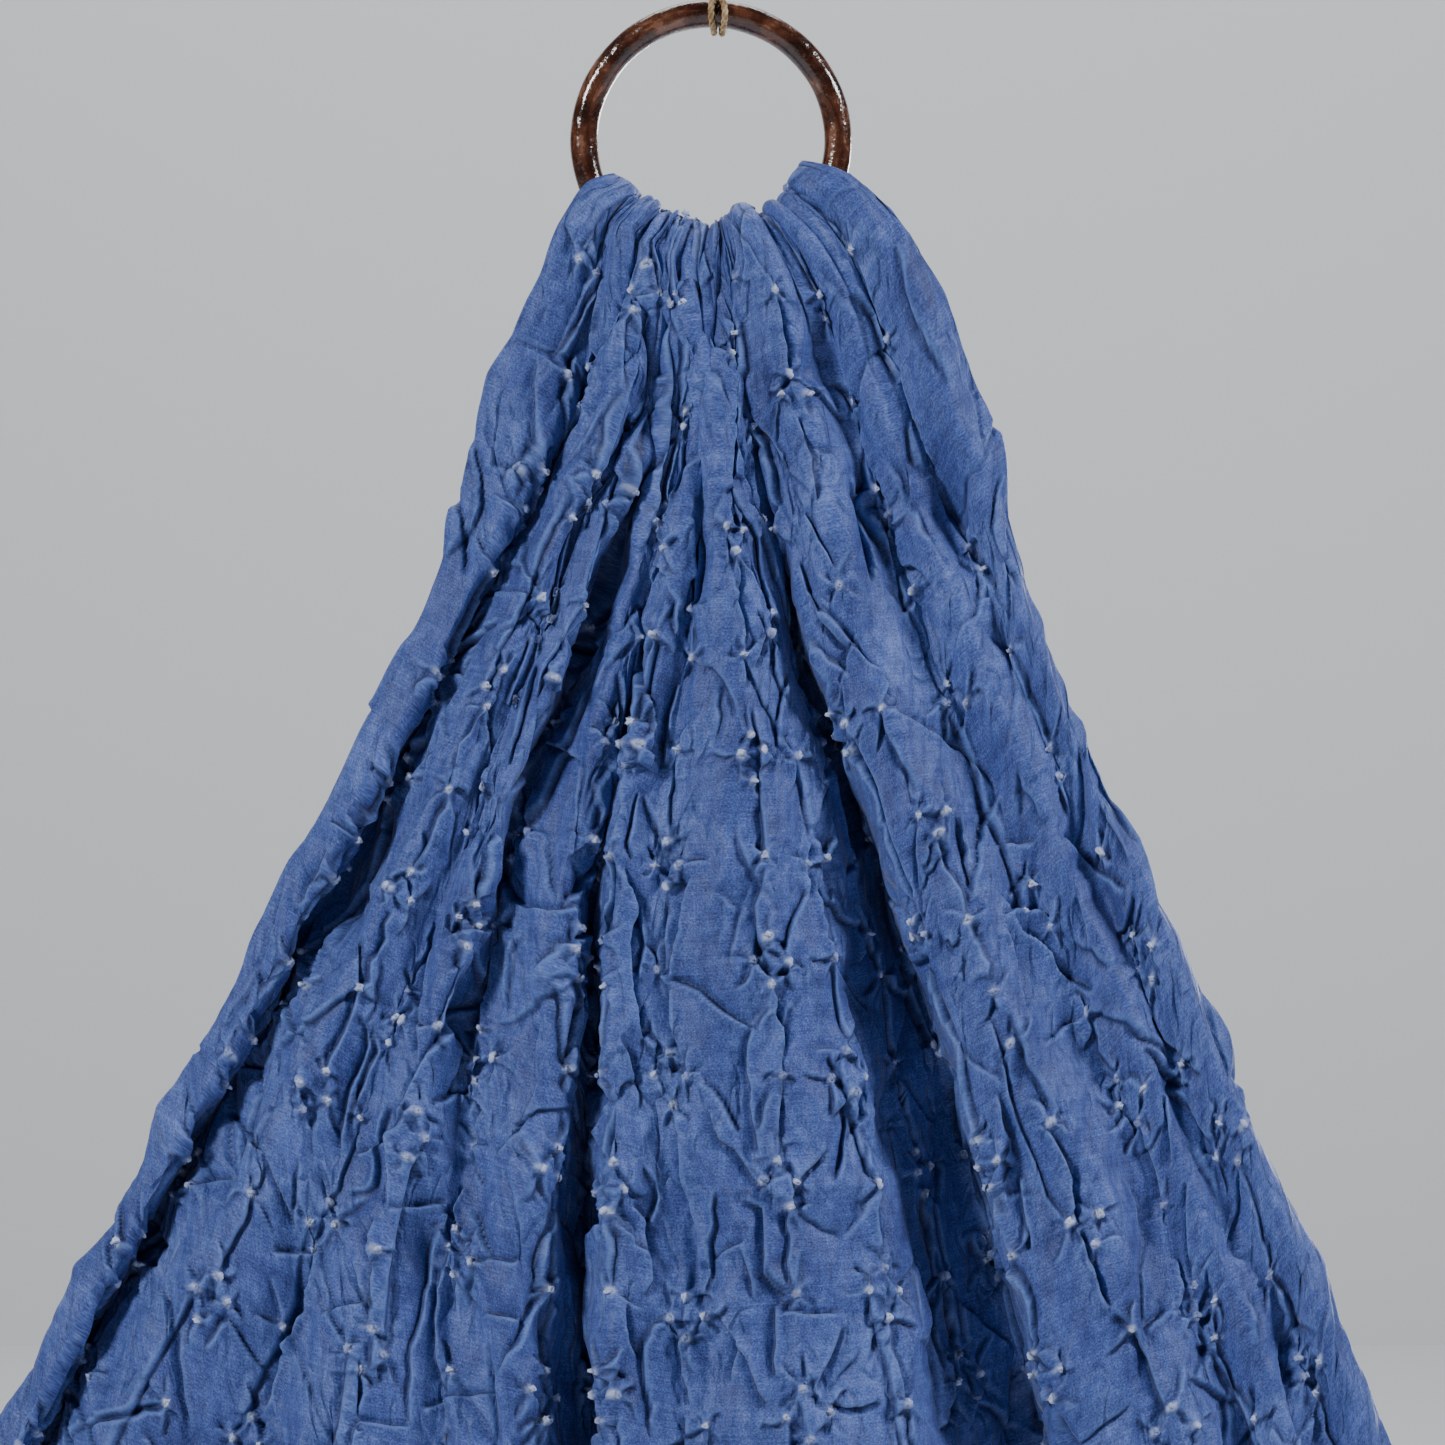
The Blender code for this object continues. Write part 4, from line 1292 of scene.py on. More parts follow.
class Crinkles:
    """Fields on a grid of the cloth, worked out at its hung places: height, shifts and creasing."""

    def __init__(self, columns, rows):
        self.columns, self.rows = columns, rows
        flat = np.stack(np.meshgrid(columns, rows, indexing="ij"), axis=-1)
        self.flat_u = flat[..., 0]
        self.u, self.v = np.moveaxis(hung(flat), -1, 0)
        self.height = np.zeros_like(self.u)
        self.shift_u = np.zeros_like(self.u)
        self.shift_v = np.zeros_like(self.u)
        # valley is where shade is painted along a crease, ridge where a highlight is painted on its lip.
        self.valley = np.zeros_like(self.u)
        self.ridge = np.zeros_like(self.u)
        self.undyed = np.zeros_like(self.u)
        self.nearest = np.full_like(self.u, REACH)
        self.sharpness = SLOPE_SHARPNESS * max(1.0, columns[1] - columns[0])

    def window(self, low, high):
        """The part of the grid that holds all places between two corners."""
        top, bottom = np.searchsorted(self.rows, (low[1], high[1]))
        ends = [self.u[:, min(row, len(self.rows) - 1)] for row in (top, (top + bottom) // 2, bottom)]
        left = min(np.searchsorted(end, low[0] - WINDOW_MARGIN) for end in ends)
        right = max(np.searchsorted(end, high[0] + WINDOW_MARGIN) for end in ends)
        return slice(left, right), slice(top, bottom)

    def add_crease(self, crease):
        """A lip on one side of a line, a valley on the other, and both drawn together."""
        low, high = crease.line.min(axis=0), crease.line.max(axis=0)
        part = self.window(low - crease.reach, high + crease.reach)
        if self.u[part].size == 0:
            return
        s, t, across = near_line(self.u[part], self.v[part], crease.line)
        if crease.reach == REACH:
            past_the_ends = OPEN_ENDS * np.abs(2 * t - 1) ** 4
            self.nearest[part] = np.minimum(self.nearest[part], np.abs(s) + past_the_ends)
        s = s * crease.lip
        strength = crease.strength * np.clip(4 * t * (1 - t), 0, 1) ** crease.taper
        lip, valley = bell(s, LIP), bell(s, VALLEY)
        slope = -np.tanh(s / self.sharpness) * np.exp(-np.abs(s) / SLOPE.width)
        slope *= np.clip(1 - (s / crease.reach) ** 2, 0, 1)
        rise = SLOPE.height * slope + LIP.height * lip + VALLEY.height * valley
        self.height[part] += strength * rise
        slanting = 2 * np.abs(across[..., 0] * across[..., 1])
        drawn = DRAWN_TOGETHER * strength * (lip - VALLEY_DRAWN * valley) * crease.lip
        drawn *= 1 - HELD_BACK_ON_A_SLANT * slanting
        self.shift_u[part] += drawn * across[..., 0]
        self.shift_v[part] += drawn * across[..., 1]
        # Masks for the painted shade in the valley and the painted highlight on the lip.
        shown = np.clip(strength, 0, 1)
        self.valley[part] = np.maximum(self.valley[part], shown * bell(s, PAINTED_SHADE_LINE))
        self.ridge[part] = np.maximum(self.ridge[part], shown * bell(s, PAINTED_HIGHLIGHT_LINE))

    def add_puffs(self):
        """The cloth swells a little between its creases."""
        self.height += PUFF_HEIGHT * (1 - np.exp(-self.nearest / PUFF_WIDTH))
        self.height += PUFF_RISE * self.nearest

    def add_facets(self, facets):
        """The flat facets, with their edges rounded off a little."""
        level = np.zeros_like(self.u)
        for triangle in facets.triangles:
            corners, heights = facets.corners[triangle], facets.heights[triangle]
            first, to_second, to_third = corners[0], corners[1] - corners[0], corners[2] - corners[0]
            area = np.cross(to_second, to_third)
            part = self.window(corners.min(axis=0), corners.max(axis=0))
            u, v = self.u[part] - first[0], self.v[part] - first[1]
            share_2 = (u * to_third[1] - v * to_third[0]) / area
            share_3 = (v * to_second[0] - u * to_second[1]) / area
            inside = np.minimum(np.minimum(share_2, share_3), 1 - share_2 - share_3) >= -INSIDE_SLACK
            plane = heights[0] + share_2 * (heights[1] - heights[0]) + share_3 * (heights[2] - heights[0])
            level[part] = np.where(inside, plane, level[part])
        for axis in (0, 1):
            level = (np.roll(level, 1, axis) + 2 * level + np.roll(level, -1, axis)) / 4
        self.height += level

    def add_tie(self, place, rng):
        """A star of tiny pleats with the tie on its tip."""
        part = self.window(place - TIE_REACH, place + TIE_REACH)
        if self.u[part].size == 0:
            return
        du, dv = self.u[part] - place[0], self.v[part] - place[1]
        r = np.hypot(du, dv)
        pleats = rng.integers(*TIE_PLEATS)
        turn = np.arctan2(dv, du) + 0.5 * np.sin(r / 2 + rng.uniform(0, 6))
        star = np.abs(np.sin(0.5 * pleats * turn + rng.uniform(0, 6))) - 0.6
        size = rng.uniform(*TIE_SIZES)
        arms = TIE_PLEAT_HEIGHT * star * r * np.exp(-r / TIE_PLEAT_RADIUS)
        tip = TIE_TIP_HEIGHT * np.exp(-((r / TIE_TIP_RADIUS) ** 2))
        self.height[part] += size * (arms + tip)
        undyed = rng.uniform(*UNDYED_SHARES) * np.exp(-((r / UNDYED_RADIUS) ** 4))
        self.undyed[part] = np.maximum(self.undyed[part], undyed)


print("a crease's lip is", LIP.width, "mm wide and its valley", VALLEY.width, "mm")

# %% [markdown]
# ## Pleats at the ring
# At the ring the whole width of the cloth is gathered into its lower arc, in sixteen round pleats
# with sharp valleys between them. They lean outwards on their way down and run out into the main
# folds. More fold rows could make them, but each would then have to run on to the hem. So each
# row below is a valley: where it is across the flat cloth at 0, 20, 40, 60 and
# 80 mm from the ring, and how high the pleat on its right stands. Smaller pleats, on these and
# all down the back half, are strewn at random.

# %% The pleats at the ring
NeckValley = namedtuple("NeckValley", "u0 u20 u40 u60 u80 height")
NECK_VALLEYS = (
    NeckValley(-4, -4, -4, -4, -4, 1.6),
    NeckValley(46, 42, 33, 26, 22, 2.6),
    NeckValley(66, 58, 42, 34, 30, 3.8),
    NeckValley(112, 108, 86, 54, 46, 3.6),
    NeckValley(158, 150, 118, 82, 72, 4.2),
    NeckValley(196, 182, 150, 122, 118, 3.4),
    NeckValley(248, 236, 205, 186, 185, 4.6),
    NeckValley(300, 286, 252, 226, 222, 3.6),
    NeckValley(344, 330, 298, 262, 254, 3.4),
    NeckValley(376, 362, 338, 318, 312, 4.4),
    NeckValley(410, 404, 394, 390, 388, 3.0),
    NeckValley(444, 446, 446, 445, 444, 4.6),
    NeckValley(526, 529, 531, 534, 536, 3.2),
    NeckValley(544, 547, 548, 546, 545, 3.4),
    NeckValley(558, 560, 559, 558, 558, 3.0),
    NeckValley(576, 574, 570, 571, 573, 2.2),
    NeckValley(616, 616, 616, 616, 616, 0.0),
)
NECK_STEPS = (0, 20, 40, 60, 80)
PLEATS_FADE_FROM = 35.0
PLEATS_FADE_OVER = 55.0
PLEATS_LEAN = 0.35
FLAT_CROWN, ROUND_CROWN = 2.4, 0.6


def neck_pleats(u, v):
    """How high the pleats at the ring stand, in mm, and how far they lean out sideways."""
    distance = np.abs(v[0])
    lines = np.stack([np.interp(distance, NECK_STEPS, valley[:-1]) for valley in NECK_VALLEYS])
    height, lean = np.zeros_like(u), np.zeros_like(u)
    for low, high, valley in zip(lines, lines[1:], NECK_VALLEYS):
        share = (u - low) / (high - low)
        crown = np.clip(1 - np.abs(2 * share - 1) ** FLAT_CROWN, 0, 1) ** ROUND_CROWN
        height += valley.height * crown
        lean += valley.height * crown * np.sign((low + high) / 2 - CLOTH_MIDDLE)
    fade = 1 / (1 + (np.maximum(0, distance - PLEATS_FADE_FROM) / PLEATS_FADE_OVER) ** 2.5)
    return height * fade, PLEATS_LEAN * lean * fade


print(len(NECK_VALLEYS) - 1, "pleats at the ring")


# %% Strewn pleats
# The widths are shares of the width asked for, and lengths are in mm.
STREWN_WIDTHS = (0.5, 1.6)
STREWN_HEIGHTS = (0.45, 1.15)
STREWN_CRESTS = (0.55, 1.8)
STREWN_SLANT = 0.05
STREWN_WANDER, WANDER_LENGTH = 0.12, 23
NARROWEST = 2.0
RUNS_OUT_FROM = 15


def pleat_height(u, v, width, run_outs, seed):
    """Heights of many pleats, 0 to 1: round between valleys that wander and run out."""
    rng = np.random.default_rng(seed)
    valleys = np.cumsum(rng.uniform(*STREWN_WIDTHS, 90) * width)
    valleys = np.concatenate([[0.0], valleys[valleys < WIDTH_MM - 5], [WIDTH_MM]])
    count = len(valleys)
    run_out = rng.uniform(*run_outs, count)
    tall = rng.uniform(*STREWN_HEIGHTS, count)
    crest = rng.uniform(*STREWN_CRESTS, count)
    slant = rng.uniform(-STREWN_SLANT, STREWN_SLANT, count)
    swing = rng.uniform(0, math.tau, count)
    cell = np.searchsorted(valleys, u.ravel(), side="right") - 1
    cell = np.clip(cell, 0, count - 2).reshape(u.shape)
    low, high = (
        valleys[i] + slant[i] * v + STREWN_WANDER * width * np.sin(v / WANDER_LENGTH + swing[i])
        for i in (cell, cell + 1)
    )
    share = np.clip((u - low) / np.maximum(high - low, NARROWEST), 0, 1) ** crest[cell]
    fade = 1 / (1 + (np.maximum(0, np.abs(v) - RUNS_OUT_FROM) / run_out[cell]) ** 2)
    return tall[cell] * fade * (1 - np.abs(2 * share - 1) ** 2.2) ** 0.7


try_places = np.meshgrid(np.linspace(0, WIDTH_MM, 50), [0.0, 40.0], indexing="ij")
try_pleats = pleat_height(*try_places, 15.0, (20, 60), seed=5)
print("small pleats are", [round(v, 2) for v in try_pleats.max(axis=0)], "high at and below the ring")

# %% [markdown]
# ## The crinkled surface
# Now everything is added up: the facets, creases, ties and waves, the pleats, and a rolled edge
# along the selvedges and hems, which holds them in. The crumpled silk also draws a few troughs in
# further than the plain folds do. Towards the ring the crinkles are held down, because the cloth
# is pulled tight there. The outward direction at each place comes from the folds, and the normals
# from the finished surface.

# %% All crinkles together
# The troughs that are drawn in: where each of them is across and along the flat cloth, how far
# it reaches either way, and how deep, all in mm.
DrawnIn = namedtuple("DrawnIn", "u v across along depth")
NARROW_TROUGHS = (
    DrawnIn(186, 112, 14, 46, 5.5),
    DrawnIn(252, 190, 12, 100, 3.0),
    DrawnIn(438, 135, 17, 70, 5.0),
    DrawnIn(424, 330, 25, 150, 6.0),
)
# How high the slow waves are, how long across and along, in mm, and a seed.
SLOW_WAVES = (0.8, (26, 70), (40, 110), 2)
# The same for the soft ripples, which come in patches with soft ends.
RIPPLES = ((0.5, (9, 20), (18, 60), 3), (0.2, (4, 8), (24, 70), 4))
RIPPLE_PATCHES = ((40, 80), (50, 110))
PATCH_ENDS = 2.5
ROLLED_EDGE_AT = 5.0
ROLLED_EDGE_WIDTH = 0.8
ROLLED_EDGE_DEPTH = 0.7


def crinkle(columns, rows):
    """All the crinkles of the cloth at the given columns and rows, in mm."""
    fields = Crinkles(columns, rows)
    fields.add_facets(facets)
    for crease in creases:
        fields.add_crease(crease)
    fields.add_puffs()
    rng = np.random.default_rng(71)
    for tie in hung_ties:
        fields.add_tie(tie, rng)
    u, v = fields.u, fields.v
    size, across, along, seed = SLOW_WAVES
    fields.height += size * waves(u, v, 9, across, along, seed)
    for size, across, along, seed in RIPPLES:
        patch = soft_step(PATCH_ENDS * waves(u, v, 5, *RIPPLE_PATCHES, seed + 5))
        fields.height += size * waves(u, v, 9, across, along, seed) * patch
    to_selvedge = np.minimum(fields.flat_u, WIDTH_MM - fields.flat_u)
    to_hem = np.minimum(FRONT_MM - v, v + BACK_MM)
    past_roll = (np.minimum(to_selvedge, to_hem) - ROLLED_EDGE_AT) / ROLLED_EDGE_WIDTH
    fields.height -= ROLLED_EDGE_DEPTH * np.exp(-(past_roll**2))
    return fields


print(len(NARROW_TROUGHS), "places where a trough is drawn in")

# %% Pleats and troughs together
# Small pleats: how wide they are and between which distances they run out, in mm. In front they
# lie between two places across, fade out by a distance from the ring, and are low where the
# cloth is spread out. Behind, they are wide and run on to the hem.
SMALL_PLEAT = 15.0
SMALL_RUN_OUTS = (20, 60)
SMALL_HEIGHT = 0.8
SMALL_LEFT, SMALL_RIGHT, SMALL_SOFT = 75.0, 440.0, 12.0
SMALL_GONE_AT, SMALL_FADE = 130.0, 90.0
SMALL_FLAT_AT = 1.35
BACK_PLEAT = 27.0
BACK_RUN_OUTS = (900, 1500)
BACK_HEIGHT = 7.0
BACK_STARTS, BACK_FADE = 20.0, 60.0
FULL_CRINKLES_FROM = 50.0
LEAST_CRINKLES = 0.35


def dressed_height(fields, spread, pleats):
    """How high the cloth stands over its main folds, in mm."""
    u, v = fields.flat_u, fields.v
    small = pleat_height(u, v, SMALL_PLEAT, SMALL_RUN_OUTS, seed=5)
    small = small * np.clip((SMALL_GONE_AT - np.abs(v)) / SMALL_FADE, 0, 1)
    small = small * soft_step((u - SMALL_LEFT) / SMALL_SOFT) * soft_step((SMALL_RIGHT - u) / SMALL_SOFT)
    behind = pleat_height(u, v, BACK_PLEAT, BACK_RUN_OUTS, seed=6) - 0.5
    height = fields.height * np.clip(np.abs(v) / FULL_CRINKLES_FROM, LEAST_CRINKLES, 1)
    height = height + pleats + SMALL_HEIGHT * small * np.minimum(1, SMALL_FLAT_AT - spread)
    height += BACK_HEIGHT * behind * np.clip((-v - BACK_STARTS) / BACK_FADE, 0, 1)
    for trough in NARROW_TROUGHS:
        reach = ((u - trough.u) / trough.across) ** 2 + ((v - trough.v) / trough.along) ** 4
        height -= trough.depth * np.exp(-reach)
    return height


print("small pleats of", SMALL_PLEAT, "mm in front and", BACK_PLEAT, "mm behind")

# %% The skin of each half
Skin = namedtuple("Skin", "columns rows places normals fields")
# The halves meet a little behind the ring's crest. Each has its own step from point to point.
CREST_V = -8
FRONT_STEP = 0.9
BACK_STEP = 2.05


def unit_vectors(vectors, least=1e-9):
    """The same directions, each one long."""
    return vectors / np.maximum(np.linalg.norm(vectors, axis=2), least)[..., None]


def cloth_skin(columns, rows):
    """The dressed cloth's places and normals: its main folds with the crinkles on them."""
    base = surface_on_folds(columns * MM, rows * MM)
    along_u = np.gradient(base, columns * MM, axis=0)
    along_v = np.gradient(base, rows * MM, axis=1)
    outward = unit_vectors(-np.cross(along_u, along_v))
    sideways = unit_vectors(along_u)
    spread = np.clip(np.linalg.norm(along_u, axis=2), 0.15, 1.0)
    fields = crinkle(columns, rows)
    pleats, lean = neck_pleats(fields.flat_u, fields.v)
    height = dressed_height(fields, spread, pleats)
    places = base + MM * (
        fields.shift_u[..., None] * sideways
        + fields.shift_v[..., None] * along_v
        + height[..., None] * outward
        + lean[..., None] * sideways
    )
    normals = -np.cross(np.gradient(places, columns, axis=0), np.gradient(places, rows, axis=1))
    return Skin(columns, rows, places, unit_vectors(normals, 1e-12), fields)


def half_skin(first_row, last_row, step):
    """The skin from one row to another, with its points about a step apart, in mm."""
    columns = np.linspace(0, WIDTH_MM, round(WIDTH_MM / step) + 1)
    rows = np.linspace(first_row, last_row, round((last_row - first_row) / step) + 1)
    return cloth_skin(columns, rows)


front_skin = half_skin(CREST_V, FRONT_MM, FRONT_STEP)
back_skin = half_skin(-BACK_MM, CREST_V, BACK_STEP)
print("front of", front_skin.places.shape[:2], "points, back of", back_skin.places.shape[:2])

# %% [markdown]
# ## Dyed silk
# The silk is plain-woven and light, with slubs in both directions. It was dyed blue while it was
# tied, so the dye is patchy and never reached under the ties. Shade is painted deeper into the
# creases and hairlines, and a highlight paler onto the crease lips. Silk has a soft sheen, which
# a middling roughness and a little sheen give. A printed picture of the cloth would stretch in its
# folds, so every layer is a noise on the cloth's own places: slow patches of dye, a mottle, slubs,
# a grain for the weave, a crumple for the dents that are too small for the mesh, and hairlines,
# the faint cracks of a cloth that was wrung. The mesh itself says where its valleys, lips and ties
# are.

# %% The layers of the silk
# Each layer of noise has its own size across and along the cloth, in turns per metre: the dye's
# patches are some 3 by 4 cm, the mottle 3 by 6 mm, the slubs 0.7 mm thick and 14 mm long, and
# the crumple 10 by 26 mm. The weave has 40 threads to the centimetre, which is too fine to show,
# so the grain is drawn at about twice its real pitch.
SilkLayer = namedtuple("SilkLayer", "name kind across along detail roughness")
SILK_LAYERS = (
    SilkLayer("patches", "FBM", 34.0, 24.0, 3.0, 0.6),
    SilkLayer("mottle", "FBM", 330.0, 180.0, 3.0, 0.6),
    SilkLayer("slubs", "FBM", 70.0, 1400.0, 1.0, 0.5),
    SilkLayer("grain", "FBM", 1700.0, 1900.0, 1.0, 0.7),
    SilkLayer("crumple", "RIDGED_MULTIFRACTAL", 95.0, 38.0, 2.0, 0.5),
)
# How much each layer counts in the dye, and the strength and depth of those that are felt.
DYE_WEIGHTS = (("patches", 0.33), ("mottle", 0.24), ("slubs", 0.13), ("grain", 0.36))
RELIEF = (("crumple", 0.38, 2.0 * MM), ("mottle", 0.4, 1.2 * MM), ("grain", 0.4, 0.3 * MM))
# The hairlines run round cells of 9 by 20 mm and show where the dye's patches are high.
HAIRLINE_CELLS = (110.0, 50.0, 1.0)
HAIRLINE_WIDTH = 0.16
HAIRLINE_WANDER = (1.1, 1.1, 0.0)
HAIRLINE_PATCHES = (0.42, 0.62)
# How much painted shade the hairlines get in the colour, for tiny shadows that a bump can't cast.
HAIRLINE_PAINTED_SHADE = 0.1
HAIRLINE_RELIEF = (0.8, 1.2 * MM)


def silk_noise(silk, layer, uv):
    """One layer of noise on the cloth's own places."""
    sized = add_node(
        silk, "ShaderNodeMapping", {"Scale": (layer.across, layer.along, 1.0)}, {"Vector": uv}
    )
    noise = add_node(
        silk, "ShaderNodeTexNoise",
        {"noise_dimensions": "2D", "noise_type": layer.kind, "Scale": 1.0,
         "Detail": layer.detail, "Roughness": layer.roughness},
        {"Vector": sized.outputs["Vector"]},
    )
    return noise.outputs["Fac"]


def silk_hairlines(silk, patches, uv):
    """Fine lines round bent cells, in patches."""
    sized = add_node(silk, "ShaderNodeMapping", {"Scale": HAIRLINE_CELLS}, {"Vector": uv})
    wander = add_node(
        silk, "ShaderNodeTexNoise", {"noise_dimensions": "2D", "Scale": 1.3, "Detail": 1.0},
        {"Vector": sized.outputs["Vector"]},
    )
    bent = add_node(
        silk, "ShaderNodeVectorMath", {"operation": "MULTIPLY_ADD", 1: HAIRLINE_WANDER},
        {0: wander.outputs["Color"], 2: sized.outputs["Vector"]},
    )
    cells = add_node(
        silk, "ShaderNodeTexVoronoi",
        {"voronoi_dimensions": "2D", "feature": "DISTANCE_TO_EDGE", "Scale": 1.0},
        {"Vector": bent.outputs["Vector"]},
    )
    patchy = add_node(
        silk, "ShaderNodeMapRange", {1: HAIRLINE_PATCHES[0], 2: HAIRLINE_PATCHES[1]},
        {"Value": patches},
    )
    groove = add_node(
        silk, "ShaderNodeMapRange", {1: 0.0, 2: HAIRLINE_WIDTH, 3: 1.0, 4: 0.0},
        {"Value": cells.outputs["Distance"]},
    )
    hairline = add_node(
        silk, "ShaderNodeMath", {"operation": "MULTIPLY"},
        {0: groove.outputs["Result"], 1: patchy.outputs["Result"]},
    )
    return hairline.outputs[0]


print(len(SILK_LAYERS), "layers of noise and the hairlines")

# %% The dyed silk material
SILK_DYES = ((0.38, "#232E68"), (0.54, "#42589E"), (0.7, "#6A80C4"))
# The painted highlight on the crease lips and the painted shade in the valleys: their colours.
PAINTED_HIGHLIGHT_COLOUR = "#6F8FD6"
PAINTED_SHADE_COLOUR = "#303A68"
UNDYED_SILK = "#D0DDFF"
# How strongly the painted highlight and the painted shade are laid on.
PAINTED_HIGHLIGHT_SHARE = 0.5
PAINTED_SHADE_SHARE = 0.8
SILK_ROUGHNESS = 0.58
SILK_IOR = 1.4
SILK_SHEEN = 0.12
SILK_SHEEN_ROUGHNESS = 0.4


def silk_colour(silk, layers, hairline):
    """The patchy dye, missing under the ties, with a painted highlight on the lips and painted shade in
    the valleys and hairlines.
    """
    dye = None
    for name, weight in DYE_WEIGHTS:
        added = add_node(
            silk, "ShaderNodeMath", {"operation": "MULTIPLY_ADD", 1: weight, 2: 0.0}, {0: layers[name]}
        )
        if dye:
            silk.node_tree.links.new(dye, added.inputs[2])
        dye = added.outputs[0]
    blues = add_node(silk, "ShaderNodeValToRGB", None, {"Fac": dye})
    set_ramp(blues, SILK_DYES)
    valley, undyed, ridge = (
        add_node(silk, "ShaderNodeAttribute", {"attribute_name": name}).outputs["Fac"]
        for name in ("valley", "undyed", "ridge")
    )
    # A highlight painted on the lips, by the ridge mask.
    painted_highlight = add_node(silk, "ShaderNodeMath", {"operation": "MULTIPLY", 1: PAINTED_HIGHLIGHT_SHARE}, {0: ridge})
    lit = add_node(
        silk, "ShaderNodeMix", {"data_type": "RGBA", 7: linear(PAINTED_HIGHLIGHT_COLOUR)},
        {0: painted_highlight.outputs[0], 6: blues.outputs["Color"]},
    )
    # Shade painted into the valleys and the hairlines.
    both = add_node(
        silk, "ShaderNodeMath", {"operation": "MULTIPLY_ADD", 1: HAIRLINE_PAINTED_SHADE}, {0: hairline, 2: valley}
    )
    depth = add_node(silk, "ShaderNodeMath", {"operation": "MULTIPLY", 1: PAINTED_SHADE_SHARE}, {0: both.outputs[0]})
    darker = add_node(
        silk, "ShaderNodeMix", {"data_type": "RGBA", "blend_type": "MULTIPLY", 7: linear(PAINTED_SHADE_COLOUR)},
        {0: depth.outputs[0], 6: lit.outputs[2]},
    )
    paler = add_node(
        silk, "ShaderNodeMix", {"data_type": "RGBA", 7: linear(UNDYED_SILK)},
        {0: undyed, 6: darker.outputs[2]},
    )
    return paler.outputs[2]


def silk_relief(silk, layers, hairline):
    """The bumps of the silk, one after another: its hairlines, then its layers."""
    strength, distance = HAIRLINE_RELIEF
    folded = add_node(
        silk, "ShaderNodeBump", {"Strength": strength, "Distance": distance, "invert": True},
        {"Height": hairline},
    )
    normal = folded.outputs["Normal"]
    for name, strength, distance in RELIEF:
        relief = add_node(
            silk, "ShaderNodeBump", {"Strength": strength, "Distance": distance},
            {"Height": layers[name], "Normal": normal},
        )
        normal = relief.outputs["Normal"]
    return normal


def make_silk():
    """Patchy blue silk with slubs and a fine grain, undyed where it was tied."""
    silk, shader = new_material("dyed_silk")
    uv = add_node(silk, "ShaderNodeUVMap", {"uv_map": "flat"}).outputs["UV"]
    layers = {layer.name: silk_noise(silk, layer, uv) for layer in SILK_LAYERS}
    hairline = silk_hairlines(silk, layers["patches"], uv)
    silk.node_tree.links.new(silk_colour(silk, layers, hairline), shader.inputs["Base Color"])
    silk.node_tree.links.new(silk_relief(silk, layers, hairline), shader.inputs["Normal"])
    shader.inputs["Roughness"].default_value = SILK_ROUGHNESS
    shader.inputs["IOR"].default_value = SILK_IOR
    shader.inputs["Sheen Weight"].default_value = SILK_SHEEN
    shader.inputs["Sheen Roughness"].default_value = SILK_SHEEN_ROUGHNESS
    return silk


silk = make_silk()
print("silk made")

# %% [markdown]
# ## The sheets
# Each sheet is a grid whose points are moved to the skin worked out above. The front half is cut
# into four strips to keep each mesh small. Normals come from the whole skin, so no seam shows. A
# Solidify modifier would double the mesh, and the silk is too thin for its edge to show, so it
# stays a single layer. The hung places of its points are the UV map, in metres, so the weave
# keeps its size all the way up to the ring.

# %% The sheets
def sheet_mesh(name, skin, first, last):
    """A strip of the skin from one column to another as a mesh."""
    places, normals = skin.places[first:last + 1], skin.normals[first:last + 1]
    across, along = places.shape[:2]
    bm = bmesh.new()
    bmesh.ops.create_grid(bm, x_segments=across - 1, y_segments=along - 1, size=0.5)
    mesh = bpy.data.meshes.new(name)
    bm.to_mesh(mesh)
    bm.free()
    spots = np.zeros(len(mesh.vertices) * 3)
    mesh.vertices.foreach_get("co", spots)
    column = np.rint((spots[0::3] + 0.5) * (across - 1)).astype(int)
    row = np.rint((0.5 - spots[1::3]) * (along - 1)).astype(int)
    mesh.vertices.foreach_set("co", places[column, row].ravel())
    # valley and ridge carry the painted shade and the painted highlight; undyed marks the tied spots.
    for title in ("valley", "ridge", "undyed"):
        values = getattr(skin.fields, title)[first:last + 1][column, row]
        mesh.attributes.new(title, "FLOAT", "POINT").data.foreach_set("value", values)
    corner = np.zeros(len(mesh.loops), dtype=int)
    mesh.loops.foreach_get("vertex_index", corner)
    spread_out = hung(np.stack([skin.columns[first + column], skin.rows[row]], axis=1)) * MM
    mesh.uv_layers.new(name="flat").data.foreach_set("uv", spread_out[corner].ravel())
    mesh.shade_smooth()
    mesh.normals_split_custom_set_from_vertices(normals[column, row])
    return mesh


def add_sheets(title, skin, strips):
    """The strips of one half, each added as a piece of silk in place of the solid cloth."""
    cuts = np.linspace(0, len(skin.columns) - 1, strips + 1).round().astype(int)
    length = (skin.rows[-1] - skin.rows[0]) * MM
    for number, (first, last) in enumerate(zip(cuts, cuts[1:]), start=1):
        name = f"{title}_{number}" if strips > 1 else title
        piece = add_piece(name, sheet_mesh(name, skin, first, last), silk, node="cloth")
        width = (skin.columns[last] - skin.columns[first]) * MM
        share = sum(face.area for face in piece.data.polygons) / width / length
        print(name, count_triangles(piece.data), "triangles,", round(share, 2), "of its flat area")


add_sheets("silk_front", front_skin, 4)
add_sheets("silk_back", back_skin, 1)

# %% [markdown]
# ## The tied points
# Each tie gathered a pinch of silk the size of a lentil. Untied, it stays as a small pale rosette
# of pleats with a dimple in its middle. The sheets' own points are too coarse for that. So one
# rosette is a little disc whose rim is extruded outwards ring by ring, up at first and then
# down into the cloth. A copy of it, turned, stretched and pressed a little differently, is set
# on each tie, and all copies of a half are one mesh. Some took up more dye than others, as the
# real ones did.

# %% One rosette
PETALS = 10
# The rim of the dimple and the rings outside it: a radius and a height in mm for each.
ROSETTE_DIMPLE = (0.35, 0.75)
ROSETTE_RINGS = ((0.8, 1.0), (1.25, 0.35), (1.6, -0.6))
DIMPLE_DEPTH = 0.25


